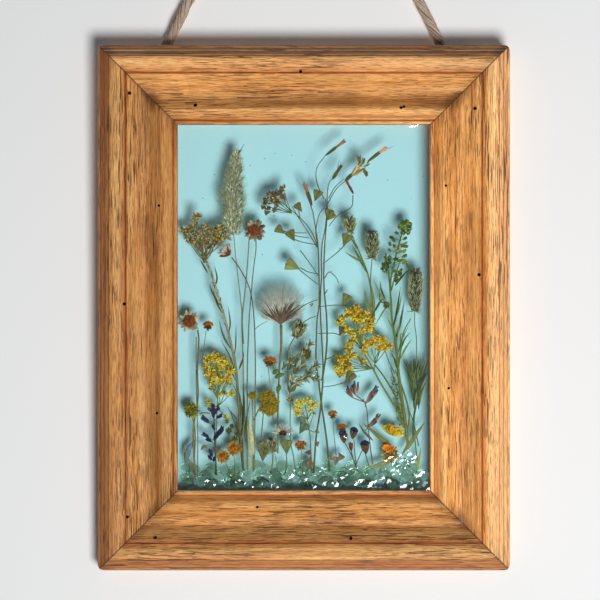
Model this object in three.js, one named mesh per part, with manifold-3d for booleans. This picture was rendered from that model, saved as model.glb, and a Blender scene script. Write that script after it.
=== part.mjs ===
// A small hanging frame: four mitred pine rails hold a clear blue resin panel that was poured
// into their opening, and a jute cord tied round two screws on the back makes a loop for a nail.
// Millimetres. +Z is up, +X is to the right of someone facing the frame, -Y is towards them.
// The origin is the top of the cord loop, where the nail bears.

import * as THREE from 'three';
import { mergeVertices } from 'three/addons/utils/BufferGeometryUtils.js';
import Module from 'manifold-3d';

// The opening, and the moulding around it
const SIGHT_WIDTH = 138;
const SIGHT_HEIGHT = 200;
const RAIL_WIDTH = 44;
const MITRE_GAP = 0.35;
const CORNER_RADIUS = 3.5;
const FIT_GAP = 0.3;

// The moulding's face, as distance out from the sight edge and height above the flat back:
// a flat lip, a sunk quirk, then a smooth curve over a hump, down into a hollow and up to the
// broad outer crest, and last a flat slope down to the side
const LIP = { width: 2.2, height: 15.2 };
const FACE_CURVE = [
  [2.7, 14.6],
  [5, 16.8],
  [8, 17.7],
  [10, 16.9],
  [12.5, 14.9],
  [15, 13.6],
  [17.8, 13],
  [20, 13.5],
  [22.5, 15.1],
  [25.5, 16.9],
  [29, 18.5],
  [33, 19.7],
  [35.4, 20],
  [37.3, 19.5],
];
const FACE_CURVE_STEPS = 36;
const THICKNESS = 20;
const EDGE_HEIGHT = 11.6;
const REBATE_WIDTH = 5;
const REBATE_HEIGHT = 13;
const SCRATCH_LINES = [28.2, 37.6, 40.3, 42.4];
const SCRATCH_DEPTH = 0.5;
const SCRATCH_HALF_WIDTH = 0.45;

// The resin panel
const PANEL_BACK = 3;
const PANEL_FRONT = 14.2;

// The cord, its screws and the knots round them
const LOOP_HEIGHT = 141;
const CORD_RADIUS = 2.8;
const CORD_SIDES = 10;
const CORD_STEPS = 36;
const CORD_CLEARANCE = 0.4;
const SCREW_OUT = 83.3;
const SCREW_DOWN = 154.5;
const SCREW = { shank: 1.75, head: 4.2, headHeight: 2.3, inWood: 10, sides: 20 };
const KNOT = { centre: 9.5, along: 5.6, across: 4.7, deep: 3.6, end: 14.3 };

const BACK_Y = -(CORD_RADIUS + CORD_CLEARANCE);
const FRAME_MIDDLE_Z = -(LOOP_HEIGHT + RAIL_WIDTH + SIGHT_HEIGHT / 2);

// Old woodworm holes and dents: how far along the rail from its middle (to the right or up),
// how far out from the sight edge, the hole's radius and its depth
const WORM_HOLES = {
  rail_top: [
    { along: -1.8, out: 28.8, radius: 1.1, depth: 3.5 },
    { along: -59.3, out: 10.7, radius: 1.25, depth: 4 },
    { along: 53, out: 9.3, radius: 1.1, depth: 2.5 },
    { along: 54.6, out: 9.9, radius: 1, depth: 2 },
  ],
  rail_right: [
    { along: 108.9, out: 24.4, radius: 1.2, depth: 3 },
    { along: 66.7, out: 8.5, radius: 0.9, depth: 3 },
    { along: 18, out: 26.6, radius: 1.1, depth: 3.5 },
    { along: -43.9, out: 10.1, radius: 0.9, depth: 3 },
  ],
  rail_left: [
    { along: 117.2, out: 26.1, radius: 1.2, depth: 2.5 },
    { along: 55.8, out: 10.2, radius: 0.9, depth: 3 },
    { along: 2.1, out: 28.9, radius: 1.1, depth: 3.5 },
    { along: -57.6, out: 11.3, radius: 0.9, depth: 3 },
    { along: -114.1, out: 27.2, radius: 1.05, depth: 3.5 },
  ],
  rail_bottom: [
    { along: -81.3, out: 25.2, radius: 1.3, depth: 1.6 },
    { along: -25.4, out: 8.8, radius: 0.9, depth: 3 },
    { along: 25.6, out: 25.8, radius: 1.1, depth: 3.5 },
  ],
};

// The cord's route from the left knot over the nail to the right knot, in its own plane
const CORD_ROUTE = [
  [-76.8, -141.4],
  [-71.2, -130],
  [-65.2, -118],
  [-58.3, -104],
  [-51.4, -90],
  [-44.5, -76],
  [-37.5, -62],
  [-30.6, -48],
  [-23.7, -34],
  [-17.7, -22],
  [-13.3, -13],
  [-9.9, -6.1],
  [-7.5, -3],
  [-4.1, -0.8],
  [0, 0],
  [4.1, -0.8],
  [7.5, -3],
  [9.9, -6.1],
  [13.3, -13],
  [17.7, -22],
  [23.7, -34],
  [30.6, -48],
  [37.5, -62],
  [44.5, -76],
  [51.4, -90],
  [58.3, -104],
  [65.2, -118],
  [71.2, -130],
  [76.8, -141.4],
];

const pine = new THREE.MeshStandardMaterial({ color: 0xcb9258, roughness: 0.5, metalness: 0 });
const resin = new THREE.MeshStandardMaterial({
  color: 0xa3cdd0, roughness: 0.06, metalness: 0, transparent: true, opacity: 0.45,
});
const jute = new THREE.MeshStandardMaterial({ color: 0xa89a86, roughness: 0.95, metalness: 0 });
const steel = new THREE.MeshStandardMaterial({ color: 0x8d8f90, roughness: 0.4, metalness: 1 });

const wasm = await Module();
wasm.setup();

// A three.js geometry as a solid that can be cut
function toSolid(geometry) {
  const bare = geometry.clone();
  bare.deleteAttribute('normal');
  bare.deleteAttribute('uv');
  const merged = mergeVertices(bare, 1e-4);
  return new wasm.Manifold(new wasm.Mesh({
    numProp: 3,
    vertProperties: new Float32Array(merged.attributes.position.array),
    triVerts: new Uint32Array(merged.index.array),
  }));
}

function toGeometry(solid) {
  const cut = solid.getMesh();
  const geometry = new THREE.BufferGeometry();
  geometry.setAttribute('position', new THREE.BufferAttribute(cut.vertProperties, 3));
  geometry.setIndex(new THREE.BufferAttribute(cut.triVerts, 1));
  geometry.computeVertexNormals();
  return geometry;
}

const faceCurve = new THREE.SplineCurve(FACE_CURVE.map((point) => new THREE.Vector2(...point)));
const faceStops = [
  new THREE.Vector2(0, LIP.height),
  new THREE.Vector2(LIP.width, LIP.height),
  ...faceCurve.getPoints(FACE_CURVE_STEPS),
  new THREE.Vector2(RAIL_WIDTH, EDGE_HEIGHT),
];

// Height of the moulding's face above the back, at a distance out from the sight edge
function faceHeight(out) {
  const next = faceStops.findIndex((stop) => stop.x >= out);
  if (next <= 0) return faceStops[0].y;
  const before = faceStops[next - 1];
  const after = faceStops[next];
  return before.y + (after.y - before.y) * (out - before.x) / (after.x - before.x);
}

// The moulding's section: x is the distance out, y the height above the back. The fine lines
// scratched along the face sink to a point
function mouldingSection() {
  const isClear = (stop) => SCRATCH_LINES.every(
    (line) => Math.abs(stop.x - line) > 1.5 * SCRATCH_HALF_WIDTH,
  );
  const outline = faceStops.filter(isClear);
  for (const line of SCRATCH_LINES) {
    const inner = line - SCRATCH_HALF_WIDTH;
    const outer = line + SCRATCH_HALF_WIDTH;
    outline.push(new THREE.Vector2(inner, faceHeight(inner)));
    outline.push(new THREE.Vector2(line, faceHeight(line) - SCRATCH_DEPTH));
    outline.push(new THREE.Vector2(outer, faceHeight(outer)));
  }
  outline.sort((a, b) => a.x - b.x);
  outline.push(new THREE.Vector2(RAIL_WIDTH, 0));
  outline.push(new THREE.Vector2(REBATE_WIDTH, 0));
  outline.push(new THREE.Vector2(REBATE_WIDTH, REBATE_HEIGHT));
  outline.push(new THREE.Vector2(0, REBATE_HEIGHT));
  return new THREE.Shape(outline);
}

// A rail lies along X below the opening: its ends are cut at 45 degrees by sliding each point
// of the section along the rail as far as it lies out from the sight edge
function mitredRail(sightLength, sightDistance) {
  const bar = new THREE.ExtrudeGeometry(mouldingSection(), { depth: 1, bevelEnabled: false });
  const point = bar.attributes.position;
  for (let i = 0; i < point.count; i += 1) {
    const out = point.getX(i);
    const height = point.getY(i);
    const end = point.getZ(i) > 0.5 ? -1 : 1;
    point.setXYZ(i, end * (sightLength / 2 + out - MITRE_GAP / 2), -height, -sightDistance - out);
  }
  return toSolid(bar);
}

// The outside of the whole frame, with its corners rounded in plan
function roundedBlank(width, height) {
  const right = width / 2;
  const top = height / 2;
  const blank = new THREE.Shape();
  blank.moveTo(-right + CORNER_RADIUS, -top);
  blank.lineTo(right - CORNER_RADIUS, -top);
  blank.absarc(right - CORNER_RADIUS, -top + CORNER_RADIUS, CORNER_RADIUS, -Math.PI / 2, 0);
  blank.lineTo(right, top - CORNER_RADIUS);
  blank.absarc(right - CORNER_RADIUS, top - CORNER_RADIUS, CORNER_RADIUS, 0, Math.PI / 2);
  blank.lineTo(-right + CORNER_RADIUS, top);
  blank.absarc(-right + CORNER_RADIUS, top - CORNER_RADIUS, CORNER_RADIUS, Math.PI / 2, Math.PI);
  blank.lineTo(-right, -top + CORNER_RADIUS);
  blank.absarc(-right + CORNER_RADIUS, -top + CORNER_RADIUS, CORNER_RADIUS, Math.PI, Math.PI * 1.5);
  const slab = new THREE.ExtrudeGeometry(blank, {
    depth: THICKNESS + 2, bevelEnabled: false, curveSegments: 6,
  });
  slab.rotateX(Math.PI / 2);
  slab.translate(0, 1, 0);
  return toSolid(slab);
}

// One rail in its own frame: a mitred bar, rounded at its outer corners, with its worm holes
function railGeometry(name, sightLength, sightDistance, alongSign) {
  const outerLength = sightLength + 2 * RAIL_WIDTH;
  const outerDepth = 2 * (sightDistance + RAIL_WIDTH);
  let rail = mitredRail(sightLength, sightDistance);
  rail = rail.intersect(roundedBlank(outerLength, outerDepth));
  for (const hole of WORM_HOLES[name]) {
    const drill = new THREE.CylinderGeometry(hole.radius * 0.75, hole.radius, hole.depth * 2, 12);
    const height = faceHeight(hole.out);
    drill.translate(alongSign * hole.along, -height, -sightDistance - hole.out);
    rail = rail.subtract(toSolid(drill));
  }
  if (name === 'rail_top') {
    for (const side of [-1, 1]) {
      const radius = SCREW.shank + FIT_GAP;
      const bore = new THREE.CylinderGeometry(radius, radius, 2 * (SCREW.inWood + FIT_GAP), 16);
      const down = SCREW_DOWN - LOOP_HEIGHT - RAIL_WIDTH;
      bore.translate(side * SCREW_OUT, 0, -sightDistance + down);
      rail = rail.subtract(toSolid(bore));
    }
  }
  return toGeometry(rail);
}

function namedMesh(name, geometry, material) {
  const mesh = new THREE.Mesh(geometry, material);
  mesh.name = name;
  return mesh;
}

// The four rails are one bar made four times and turned a quarter each time
const frame = new THREE.Group();
frame.position.set(0, BACK_Y, FRAME_MIDDLE_Z);
const RAIL_TURNS = [
  { name: 'rail_bottom', turns: 0, length: SIGHT_WIDTH, across: SIGHT_HEIGHT, alongSign: 1 },
  { name: 'rail_left', turns: 1, length: SIGHT_HEIGHT, across: SIGHT_WIDTH, alongSign: -1 },
  { name: 'rail_top', turns: 2, length: SIGHT_WIDTH, across: SIGHT_HEIGHT, alongSign: -1 },
  { name: 'rail_right', turns: 3, length: SIGHT_HEIGHT, across: SIGHT_WIDTH, alongSign: 1 },
];
for (const { name, turns, length, across, alongSign } of RAIL_TURNS) {
  const rail = namedMesh(name, railGeometry(name, length, across / 2, alongSign), pine);
  rail.rotation.y = turns * Math.PI / 2;
  frame.add(rail);
}

// The resin fills the rebate behind the lip and stands up inside the sight edge
function resinPanel() {
  const rim = 2 * (REBATE_WIDTH - FIT_GAP);
  const bodyDepth = REBATE_HEIGHT - FIT_GAP - PANEL_BACK;
  const body = new THREE.BoxGeometry(SIGHT_WIDTH + rim, bodyDepth, SIGHT_HEIGHT + rim);
  body.translate(0, -PANEL_BACK - bodyDepth / 2, 0);
  const faceDepth = PANEL_FRONT - PANEL_BACK - 1;
  const face = new THREE.BoxGeometry(
    SIGHT_WIDTH - 2 * FIT_GAP, faceDepth, SIGHT_HEIGHT - 2 * FIT_GAP,
  );
  face.translate(0, -PANEL_FRONT + faceDepth / 2, 0);
  return toGeometry(toSolid(body).add(toSolid(face)));
}
frame.add(namedMesh('resin_panel', resinPanel(), resin));

// A round-headed wood screw on the Y axis, its head towards the wall
function cordScrew() {
  const under = CORD_RADIUS + FIT_GAP;
  const tip = BACK_Y - SCREW.inWood;
  const dome = new THREE.EllipseCurve(0, under + 0.8, SCREW.head, SCREW.headHeight - 0.8, 0, Math.PI / 2);
  const profile = [
    new THREE.Vector2(0, tip),
    new THREE.Vector2(SCREW.shank * 0.5, tip + 2),
    new THREE.Vector2(SCREW.shank, tip + 5),
    new THREE.Vector2(SCREW.shank, under),
    new THREE.Vector2(SCREW.head, under),
    ...dome.getPoints(5).slice(0, -1),
    new THREE.Vector2(0, under + SCREW.headHeight),
  ];
  return new THREE.LatheGeometry(profile, SCREW.sides);
}

// The cord goes once round the screw and is knotted on itself: a ring with a lump above it,
// cut square where the taut cord starts
function cordKnot(lean) {
  const ringRadius = SCREW.shank + FIT_GAP + CORD_RADIUS;
  const section = new THREE.EllipseCurve(ringRadius, 0, CORD_RADIUS, CORD_RADIUS);
  const ring = new THREE.LatheGeometry(section.getPoints(CORD_SIDES), 24);
  const lump = new THREE.SphereGeometry(1, 20, 14);
  lump.scale(KNOT.across, KNOT.deep, KNOT.along);
  lump.translate(0, KNOT.deep - CORD_RADIUS, KNOT.centre);
  const beyond = new THREE.BoxGeometry(20, 20, 10);
  beyond.translate(0, 0, KNOT.end + 5);
  const shankWay = new THREE.CylinderGeometry(
    SCREW.shank + FIT_GAP, SCREW.shank + FIT_GAP, 20, 20,
  );
  const headWay = new THREE.CylinderGeometry(
    SCREW.head + FIT_GAP, SCREW.head + FIT_GAP, 10, 20,
  );
  headWay.translate(0, CORD_RADIUS + 5, 0);
  const knot = toSolid(ring).add(toSolid(lump)).subtract(toSolid(beyond));
  const clear = knot.subtract(toSolid(shankWay)).subtract(toSolid(headWay));
  const geometry = toGeometry(clear);
  geometry.rotateY(lean);
  return geometry;
}

// A round cord swept along its route
function tautCord() {
  const points = CORD_ROUTE.map(([x, z]) => new THREE.Vector3(x, 0, z));
  const route = new THREE.CatmullRomCurve3(points);
  const section = new THREE.Shape();
  for (let i = 0; i < CORD_SIDES; i += 1) {
    const angle = 2 * Math.PI * i / CORD_SIDES;
    const corner = [CORD_RADIUS * Math.cos(angle), CORD_RADIUS * Math.sin(angle)];
    if (i === 0) section.moveTo(...corner);
    else section.lineTo(...corner);
  }
  return new THREE.ExtrudeGeometry(section, { steps: CORD_STEPS, extrudePath: route });
}

const hanging = new THREE.Group();
const [startX, startZ] = CORD_ROUTE[0];
const lean = Math.atan2(startX + SCREW_OUT, startZ + SCREW_DOWN);
for (const [side, sign] of [['left', -1], ['right', 1]]) {
  const screw = namedMesh(`cord_screw_${side}`, cordScrew(), steel);
  screw.position.set(sign * SCREW_OUT, 0, -SCREW_DOWN);
  const knot = namedMesh(`cord_knot_${side}`, cordKnot(-sign * lean), jute);
  knot.position.copy(screw.position);
  hanging.add(screw, knot);
}
hanging.add(namedMesh('hanging_cord', tautCord(), jute));

const flowerFrame = new THREE.Group();
flowerFrame.add(frame, hanging);

export default flowerFrame;
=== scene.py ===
import math
import random

import bmesh
import bpy
import numpy as np
from mathutils import Matrix, Vector, noise


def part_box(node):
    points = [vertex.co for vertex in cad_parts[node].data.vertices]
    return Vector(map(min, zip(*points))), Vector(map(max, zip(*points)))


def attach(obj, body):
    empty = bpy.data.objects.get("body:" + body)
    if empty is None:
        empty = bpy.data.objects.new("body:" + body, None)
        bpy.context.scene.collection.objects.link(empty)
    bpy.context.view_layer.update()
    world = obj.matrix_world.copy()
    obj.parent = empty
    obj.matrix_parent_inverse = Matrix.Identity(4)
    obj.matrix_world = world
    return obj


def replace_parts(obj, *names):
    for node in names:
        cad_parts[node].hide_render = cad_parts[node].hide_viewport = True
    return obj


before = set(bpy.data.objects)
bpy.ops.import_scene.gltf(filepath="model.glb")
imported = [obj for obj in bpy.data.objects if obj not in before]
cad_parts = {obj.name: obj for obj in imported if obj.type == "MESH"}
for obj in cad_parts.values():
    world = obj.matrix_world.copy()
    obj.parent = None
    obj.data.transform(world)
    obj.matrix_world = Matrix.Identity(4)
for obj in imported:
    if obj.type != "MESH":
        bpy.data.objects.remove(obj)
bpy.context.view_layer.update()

MM = 0.001


# ---------------------------------------------------------------- camera
# The frame is looked at square on, from a little over a metre away.

EYE_DISTANCE = 1.3
VIEW_WIDTH = 0.3288
VIEW_CENTRE = Vector((-0.0021, -0.015, -0.2808))

camera_lens = bpy.data.cameras.new("camera")
camera_lens.sensor_width = 36
camera_lens.lens = camera_lens.sensor_width * EYE_DISTANCE / VIEW_WIDTH
camera_lens.clip_start = 0.01
camera = bpy.data.objects.new("camera", camera_lens)
camera.location = VIEW_CENTRE - Vector((0, EYE_DISTANCE, 0))
camera.rotation_euler = (math.radians(90), 0, 0)
bpy.context.scene.collection.objects.link(camera)
bpy.context.scene.camera = camera


# ---------------------------------------------------------------- hanging cord
# A soft jute cord, loosely twisted from twenty fine yarns round a core. It runs from a knot at
# the left screw up over the nail and down to a knot at the right screw, and the frame's weight
# keeps it taut.

CORD_DIAMETER = 5.6 * MM
YARNS = 20
YARN_TURN = 34 * MM
CORE_SHARE = 0.8
CORD_ROUTE = [
    (-76.8, -141.4), (-71.2, -130), (-65.2, -118), (-58.3, -104), (-51.4, -90), (-44.5, -76),
    (-37.5, -62), (-30.6, -48), (-23.7, -34), (-17.7, -22), (-13.3, -13), (-9.9, -6.1),
    (-7.5, -3), (-4.1, -0.8), (0, 0), (4.1, -0.8), (7.5, -3), (9.9, -6.1), (13.3, -13),
    (17.7, -22), (23.7, -34), (30.6, -48), (37.5, -62), (44.5, -76), (51.4, -90), (58.3, -104),
    (65.2, -118), (71.2, -130), (76.8, -141.4),
]


class Tone:
    """One socket of a finish's nodes. Arithmetic on it adds the Math nodes that do the sum."""

    def __init__(self, tree, socket=None):
        self.tree = tree
        self.socket = socket

    def node(self, kind, settings=None, sockets=None, give=0):
        made = self.tree.nodes.new(kind)
        for name, value in (settings or {}).items():
            setattr(made, name, value)
        for name, value in (sockets or {}).items():
            if isinstance(value, Tone):
                self.tree.links.new(value.socket, made.inputs[name])
            else:
                made.inputs[name].default_value = value
        return Tone(self.tree, made.outputs[give])

    def maths(self, operation, first, second=0.0):
        return self.node("ShaderNodeMath", {"operation": operation}, {0: first, 1: second})

    def __add__(self, other):
        return self.maths("ADD", self, other)

    def __sub__(self, other):
        return self.maths("SUBTRACT", self, other)

    def __rsub__(self, other):
        return self.maths("SUBTRACT", other, self)

    def __mul__(self, other):
        return self.maths("MULTIPLY", self, other)

    __radd__ = __add__
    __rmul__ = __mul__

    def __abs__(self):
        return self.maths("ABSOLUTE", self)

    def parts(self):
        """The three numbers of a place or direction"""
        split = self.node("ShaderNodeSeparateXYZ", {}, {0: self}).socket.node
        return [Tone(self.tree, output) for output in split.outputs]

    def over(self, low, high):
        """0 where the value is under low, 1 where it is over high"""
        sockets = {"Value": self, "From Min": low, "From Max": high}
        return self.node("ShaderNodeMapRange", {"interpolation_type": "SMOOTHSTEP"}, sockets)

    def paint(self, under, colour):
        """under, covered by colour where this value is 1"""
        sockets = {0: self, 6: rgba(under), 7: rgba(colour)}
        return self.node("ShaderNodeMix", {"data_type": "RGBA"}, sockets, 2)

    def shade(self, colour):
        """colour made darker or lighter by this value"""
        grey = self.node("ShaderNodeCombineColor", {}, {0: self, 1: self, 2: self})
        settings = {"data_type": "RGBA", "blend_type": "MULTIPLY"}
        return self.node("ShaderNodeMix", settings, {0: 1.0, 6: rgba(colour), 7: grey}, 2)

    def grain(self, stretch, scale, detail, roughness=0.55):
        """Noise on this place, stretched along its axes"""
        scaled = self.node("ShaderNodeMapping", {}, {"Vector": self, "Scale": stretch})
        sockets = {"Vector": scaled, "Scale": scale, "Detail": detail, "Roughness": roughness}
        return self.node("ShaderNodeTexNoise", {}, sockets)

    def relief(self, depth):
        """A bumped normal from this height, in units of depth"""
        return self.node("ShaderNodeBump", {}, {"Height": self, "Distance": depth})


def rgba(colour):
    """A colour socket takes four numbers"""
    if isinstance(colour, Tone):
        return colour
    return (*colour, 1)


def srgb(red, green, blue):
    """A colour as a screen shows it, 0 to 255, in linear light"""
    return tuple((part / 255) ** 2.2 for part in (red, green, blue))


def new_finish(name):
    """A material, its nodes as a Tone, and its surface socket's node"""
    finish = bpy.data.materials.new(name)
    finish.use_nodes = True
    surface = finish.node_tree.nodes["Principled BSDF"]
    return finish, Tone(finish.node_tree), surface


def feed(surface, **sockets):
    """Sets or links the sockets of a surface: Base_Color stands for Base Color"""
    for name, value in sockets.items():
        socket = surface.inputs[name.replace("_", " ")]
        if isinstance(value, Tone):
            value.tree.links.new(value.socket, socket)
        else:
            socket.default_value = value


def linked(name, mesh, finish):
    """A mesh as an object of the scene, in its finish"""
    mesh.materials.append(finish)
    thing = bpy.data.objects.new(name, mesh)
    bpy.context.scene.collection.objects.link(thing)
    return thing


def piece_of_frame(name, mesh, finish):
    """A mesh as a named piece that goes with the frame"""
    piece = linked(name, mesh, finish)
    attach(piece, "root")
    return piece


class Heap:
    """Many small shapes gathered into one mesh, each vertex with its own dye"""

    def __init__(self):
        self.points = []
        self.faces = []
        self.dyes = []
        self.count = 0

    def put(self, shape, points, dye, tip=None):
        """A copy of a shape with its vertices moved to points, dyed from its foot to its tip"""
        tip = dye if tip is None else tip
        share = shape.lift[:, None]
        self.points.append(points)
        self.dyes.append(np.array(dye) * (1 - share) + np.array(tip) * share)
        self.faces.extend([tuple(n + self.count for n in face) for face in shape.faces])
        self.count += len(points)

    def make(self, name, finish, slot):
        mesh = bpy.data.meshes.new(name)
        mesh.from_pydata(np.concatenate(self.points).tolist(), [], self.faces)
        dyes = np.concatenate(self.dyes)
        layer = mesh.color_attributes.new("dye", "FLOAT_COLOR", "POINT")
        opaque = np.ones((len(dyes), 1))
        layer.data.foreach_set("color", np.hstack([dyes, opaque]).ravel())
        mesh.polygons.foreach_set("use_smooth", [True] * len(mesh.polygons))
        return piece_of_frame(name, mesh, finish)


class Shape:
    """A small closed shape, one unit long up Z, as arrays that a Heap can copy"""

    def __init__(self, mould, rings=1):
        self.rings = rings
        bmesh.ops.recalc_face_normals(mould, faces=mould.faces)
        mould.verts.index_update()
        self.points = np.array([vertex.co for vertex in mould.verts])
        self.faces = [[vertex.index for vertex in face.verts] for face in mould.faces]
        self.lift = np.clip(self.points[:, 2], 0, 1)
        mould.free()


def rod(sides, rings):
    """A round rod of radius 1, its ends closed, with rings of edges to bend at"""
    mould = bmesh.new()
    disc = bmesh.ops.create_circle(mould, cap_ends=True, segments=sides, radius=1)
    face = disc["verts"][0].link_faces[0]
    for _ in range(rings):
        grown = bmesh.ops.extrude_face_region(mould, geom=[face])["geom"]
        face = next(part for part in grown if isinstance(part, bmesh.types.BMFace))
        bmesh.ops.translate(mould, verts=list(face.verts), vec=(0, 0, 1 / rings))
    mould.normal_update()
    inner = [face for face in mould.faces if 0.01 < face.calc_center_median().z < 0.99
             and abs(face.normal.z) > 0.9]
    bmesh.ops.delete(mould, geom=inner, context="FACES_ONLY")
    return Shape(mould, rings)


def smooth_line(points, count):
    """count places evenly spread along a smooth line through the points"""
    ends = [2 * points[0] - points[1], *points, 2 * points[-1] - points[-2]]
    ends = np.array(ends, float)
    fine = []
    for before, start, end, after in zip(ends, ends[1:], ends[2:], ends[3:]):
        for t in np.linspace(0, 1, 12, endpoint=False):
            fine.append(0.5 * (2 * start + (end - before) * t
                               + (2 * before - 5 * start + 4 * end - after) * t ** 2
                               + (3 * start - before - 3 * end + after) * t ** 3))
    fine.append(ends[-2])
    fine = np.array(fine)
    travelled = np.concatenate([[0], np.cumsum(np.linalg.norm(np.diff(fine, axis=0), axis=1))])
    wanted = np.linspace(0, travelled[-1], count)
    return np.stack([np.interp(wanted, travelled, fine[:, axis]) for axis in range(3)], axis=1)


def frames_along(line, facing):
    """At each place on a line, the direction across it and the direction out of it"""
    ahead = np.gradient(line, axis=0)
    ahead /= np.linalg.norm(ahead, axis=1)[:, None]
    across = np.cross(ahead, np.array(facing, float))
    across /= np.linalg.norm(across, axis=1)[:, None]
    return across, np.cross(across, ahead)


def laid_along(shape, line, across_by, out_by, facing=(0, -1, 0)):
    """A shape's vertices bent along a line. across_by and out_by are half widths, given as one
    number or as several from foot to tip."""
    across, out = frames_along(line, facing)
    stations = np.linspace(0, 1, len(line))

    def at(values):
        return np.stack([np.interp(shape.lift, stations, values[:, n]) for n in range(3)], axis=1)

    def width(sizes):
        sizes = np.atleast_1d(sizes)
        return np.interp(shape.lift, np.linspace(0, 1, len(sizes)), sizes)[:, None]

    x, y = shape.points[:, :1], shape.points[:, 1:2]
    return at(line) + at(across) * x * width(across_by) + at(out) * y * width(out_by)


def blended(scale, finish_name, roughness, relief):
    """A finish for dried plant stuff or fibre: the dye, mottled and faintly rough"""
    finish, tone, surface = new_finish(finish_name)
    dye = tone.node("ShaderNodeAttribute", {"attribute_name": "dye"})
    place = tone.node("ShaderNodeTexCoord", give=3)
    mottle = place.grain((1, 1, 1), scale, 4)
    colour = (mottle.over(0.2, 0.8) * 0.5 + 0.72).shade(dye)
    fine = place.grain((1, 1, 1), scale * 4, 2)
    feed(surface, Base_Color=colour, Roughness=roughness, Specular_IOR_Level=0.12,
         Normal=fine.relief(relief))
    return finish


jute = blended(900, "jute", 0.95, 0.0002)
cord_points = [Vector((x, 0, z)) * MM for x, z in CORD_ROUTE]
cord_line = smooth_line([np.array(point) for point in cord_points], 420)
straw = np.array(srgb(186, 162, 142))
weathered = np.array(srgb(128, 108, 92))


def braid(heap, line, radius, yarns, seed):
    """Loose yarns wound round a line at their own pace, on a plain core"""
    pick = random.Random(seed)
    length = np.linalg.norm(np.diff(line, axis=0), axis=1).sum()
    across, out = frames_along(line, (0, -1, 0))
    run = np.linspace(0, length, len(line))
    yarn_shape = rod(5, len(line) - 1)
    core_shape = rod(8, 24)
    core_radius = radius * CORE_SHARE
    heap.put(core_shape, laid_along(core_shape, line, core_radius, core_radius), weathered)
    for n in range(yarns):
        start, pace = pick.uniform(0, 0.5), pick.uniform(0.85, 1.2)
        angle = 2 * math.pi * (n + start) / yarns + 2 * math.pi * run / YARN_TURN * pace
        reach = radius * (CORE_SHARE + 0.06 * np.sin(run / radius * pace + 5 * start))
        yarn = (line + across * (np.cos(angle) * reach)[:, None]
                + out * (np.sin(angle) * reach)[:, None])
        tint = straw * pick.uniform(0.8, 1.1)
        bent = laid_along(yarn_shape, yarn, radius * 0.21, radius * 0.15, (0.31, -0.9, 0.3))
        heap.put(yarn_shape, bent, tint)


cord_heap = Heap()
braid(cord_heap, cord_line, CORD_DIAMETER / 2, YARNS, 11)
cord = cord_heap.make("braided_cord", jute, "jute")
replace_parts(cord, "hanging_cord")


# ---------------------------------------------------------------- knots round the screws
# Each end of the cord goes once round its screw and is hitched on itself, with a short frayed
# tail. The screw's head keeps the turn from slipping off.

SCREW_OUT = 83.3 * MM
SCREW_DOWN = 154.5 * MM
SCREW_TURN = [(0, 0, 14.6), (0.9, 0, 10.5), (3.2, 0, 5.5), (4.75, 0, 0.5), (3.2, 0, -3.5),
              (0, 0, -4.75), (-3.2, 0, -3.5), (-4.75, 0, 0.5), (-3.9, 1.2, 5), (-2.6, 2.6, 8)]
TURN_RADIUS = 2.8 * MM
HITCH_RADIUS = 2.2 * MM
KNOT_YARNS = 8
WISPS = 40
WISP_RADIUS = 0.12 * MM
HITCH = [(-2.6, 2.6, 8), (-0.4, 4.2, 10.6), (2.7, 3.4, 11.6), (4.3, 0.6, 9.6), (2.4, -0.2, 7),
         (-1.6, 0.8, 6.6), (-4.3, 1.4, 8.6), (-3.4, 3.2, 11.2), (0.8, 4.6, 9.4), (3.4, 4, 6.4),
         (6.4, 2.4, 3.6), (8.6, 1.4, 0.4)]
CORD_END = CORD_ROUTE[-1]
lean = math.atan2(SCREW_OUT / MM - CORD_END[0], SCREW_DOWN / MM + CORD_END[1])
for side, sign in (("left", -1), ("right", 1)):
    knot_heap = Heap()
    to_screw = (Matrix.Translation((sign * SCREW_OUT, 0, -SCREW_DOWN))
                @ Matrix.Rotation(-sign * lean, 4, "Y") @ Matrix.Diagonal((sign * MM, MM, MM, 1)))
    for route, radius, seed in ((SCREW_TURN, TURN_RADIUS, 5), (HITCH, HITCH_RADIUS, 6)):
        places = [np.array(to_screw @ Vector(point)) for point in route]
        braid(knot_heap, smooth_line(places, 70), radius, KNOT_YARNS, seed + sign)
    fray_foot = np.array(to_screw @ Vector(HITCH[-1]))
    fray = random.Random(31 + sign)
    wisp = rod(3, 3)
    for _ in range(WISPS):
        spread = [fray.uniform(-2.4, 2.4) * MM for _ in range(2)]
        tip = fray_foot + np.array((sign * 2.2 * MM + spread[0], spread[1] * 0.6,
                                    -4.5 * MM + fray.uniform(-1, 1) * MM))
        foot = fray_foot + np.array((spread[0], spread[1], 0)) * 0.5
        bow = (foot + tip) / 2 + np.array((0, 0.5 * MM, 0))
        wisp_line = smooth_line([foot, bow, tip], 4)
        bent = laid_along(wisp, wisp_line, WISP_RADIUS, WISP_RADIUS, (0.2, -1, 0.1))
        knot_heap.put(wisp, bent, straw * fray.uniform(0.7, 1.2))
    knot = knot_heap.make(f"hitched_end_{side}", jute, "jute")
    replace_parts(knot, f"cord_knot_{side}")


# ---------------------------------------------------------------- cord screws
# Two round-headed, slotted steel wood screws in the back of the top rail, gone dull with age.

SCREW_PROFILE = [(0, -13.2), (0.9, -11.2), (1.75, -8.2), (1.75, 3.1), (4.2, 3.1), (4.15, 3.7),
                 (3.6, 4.5), (2.6, 5.05), (1.4, 5.33), (0, 5.4)]
SLOT_WIDTH = 0.9 * MM
SLOT_DEPTH = 1.1 * MM


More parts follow.
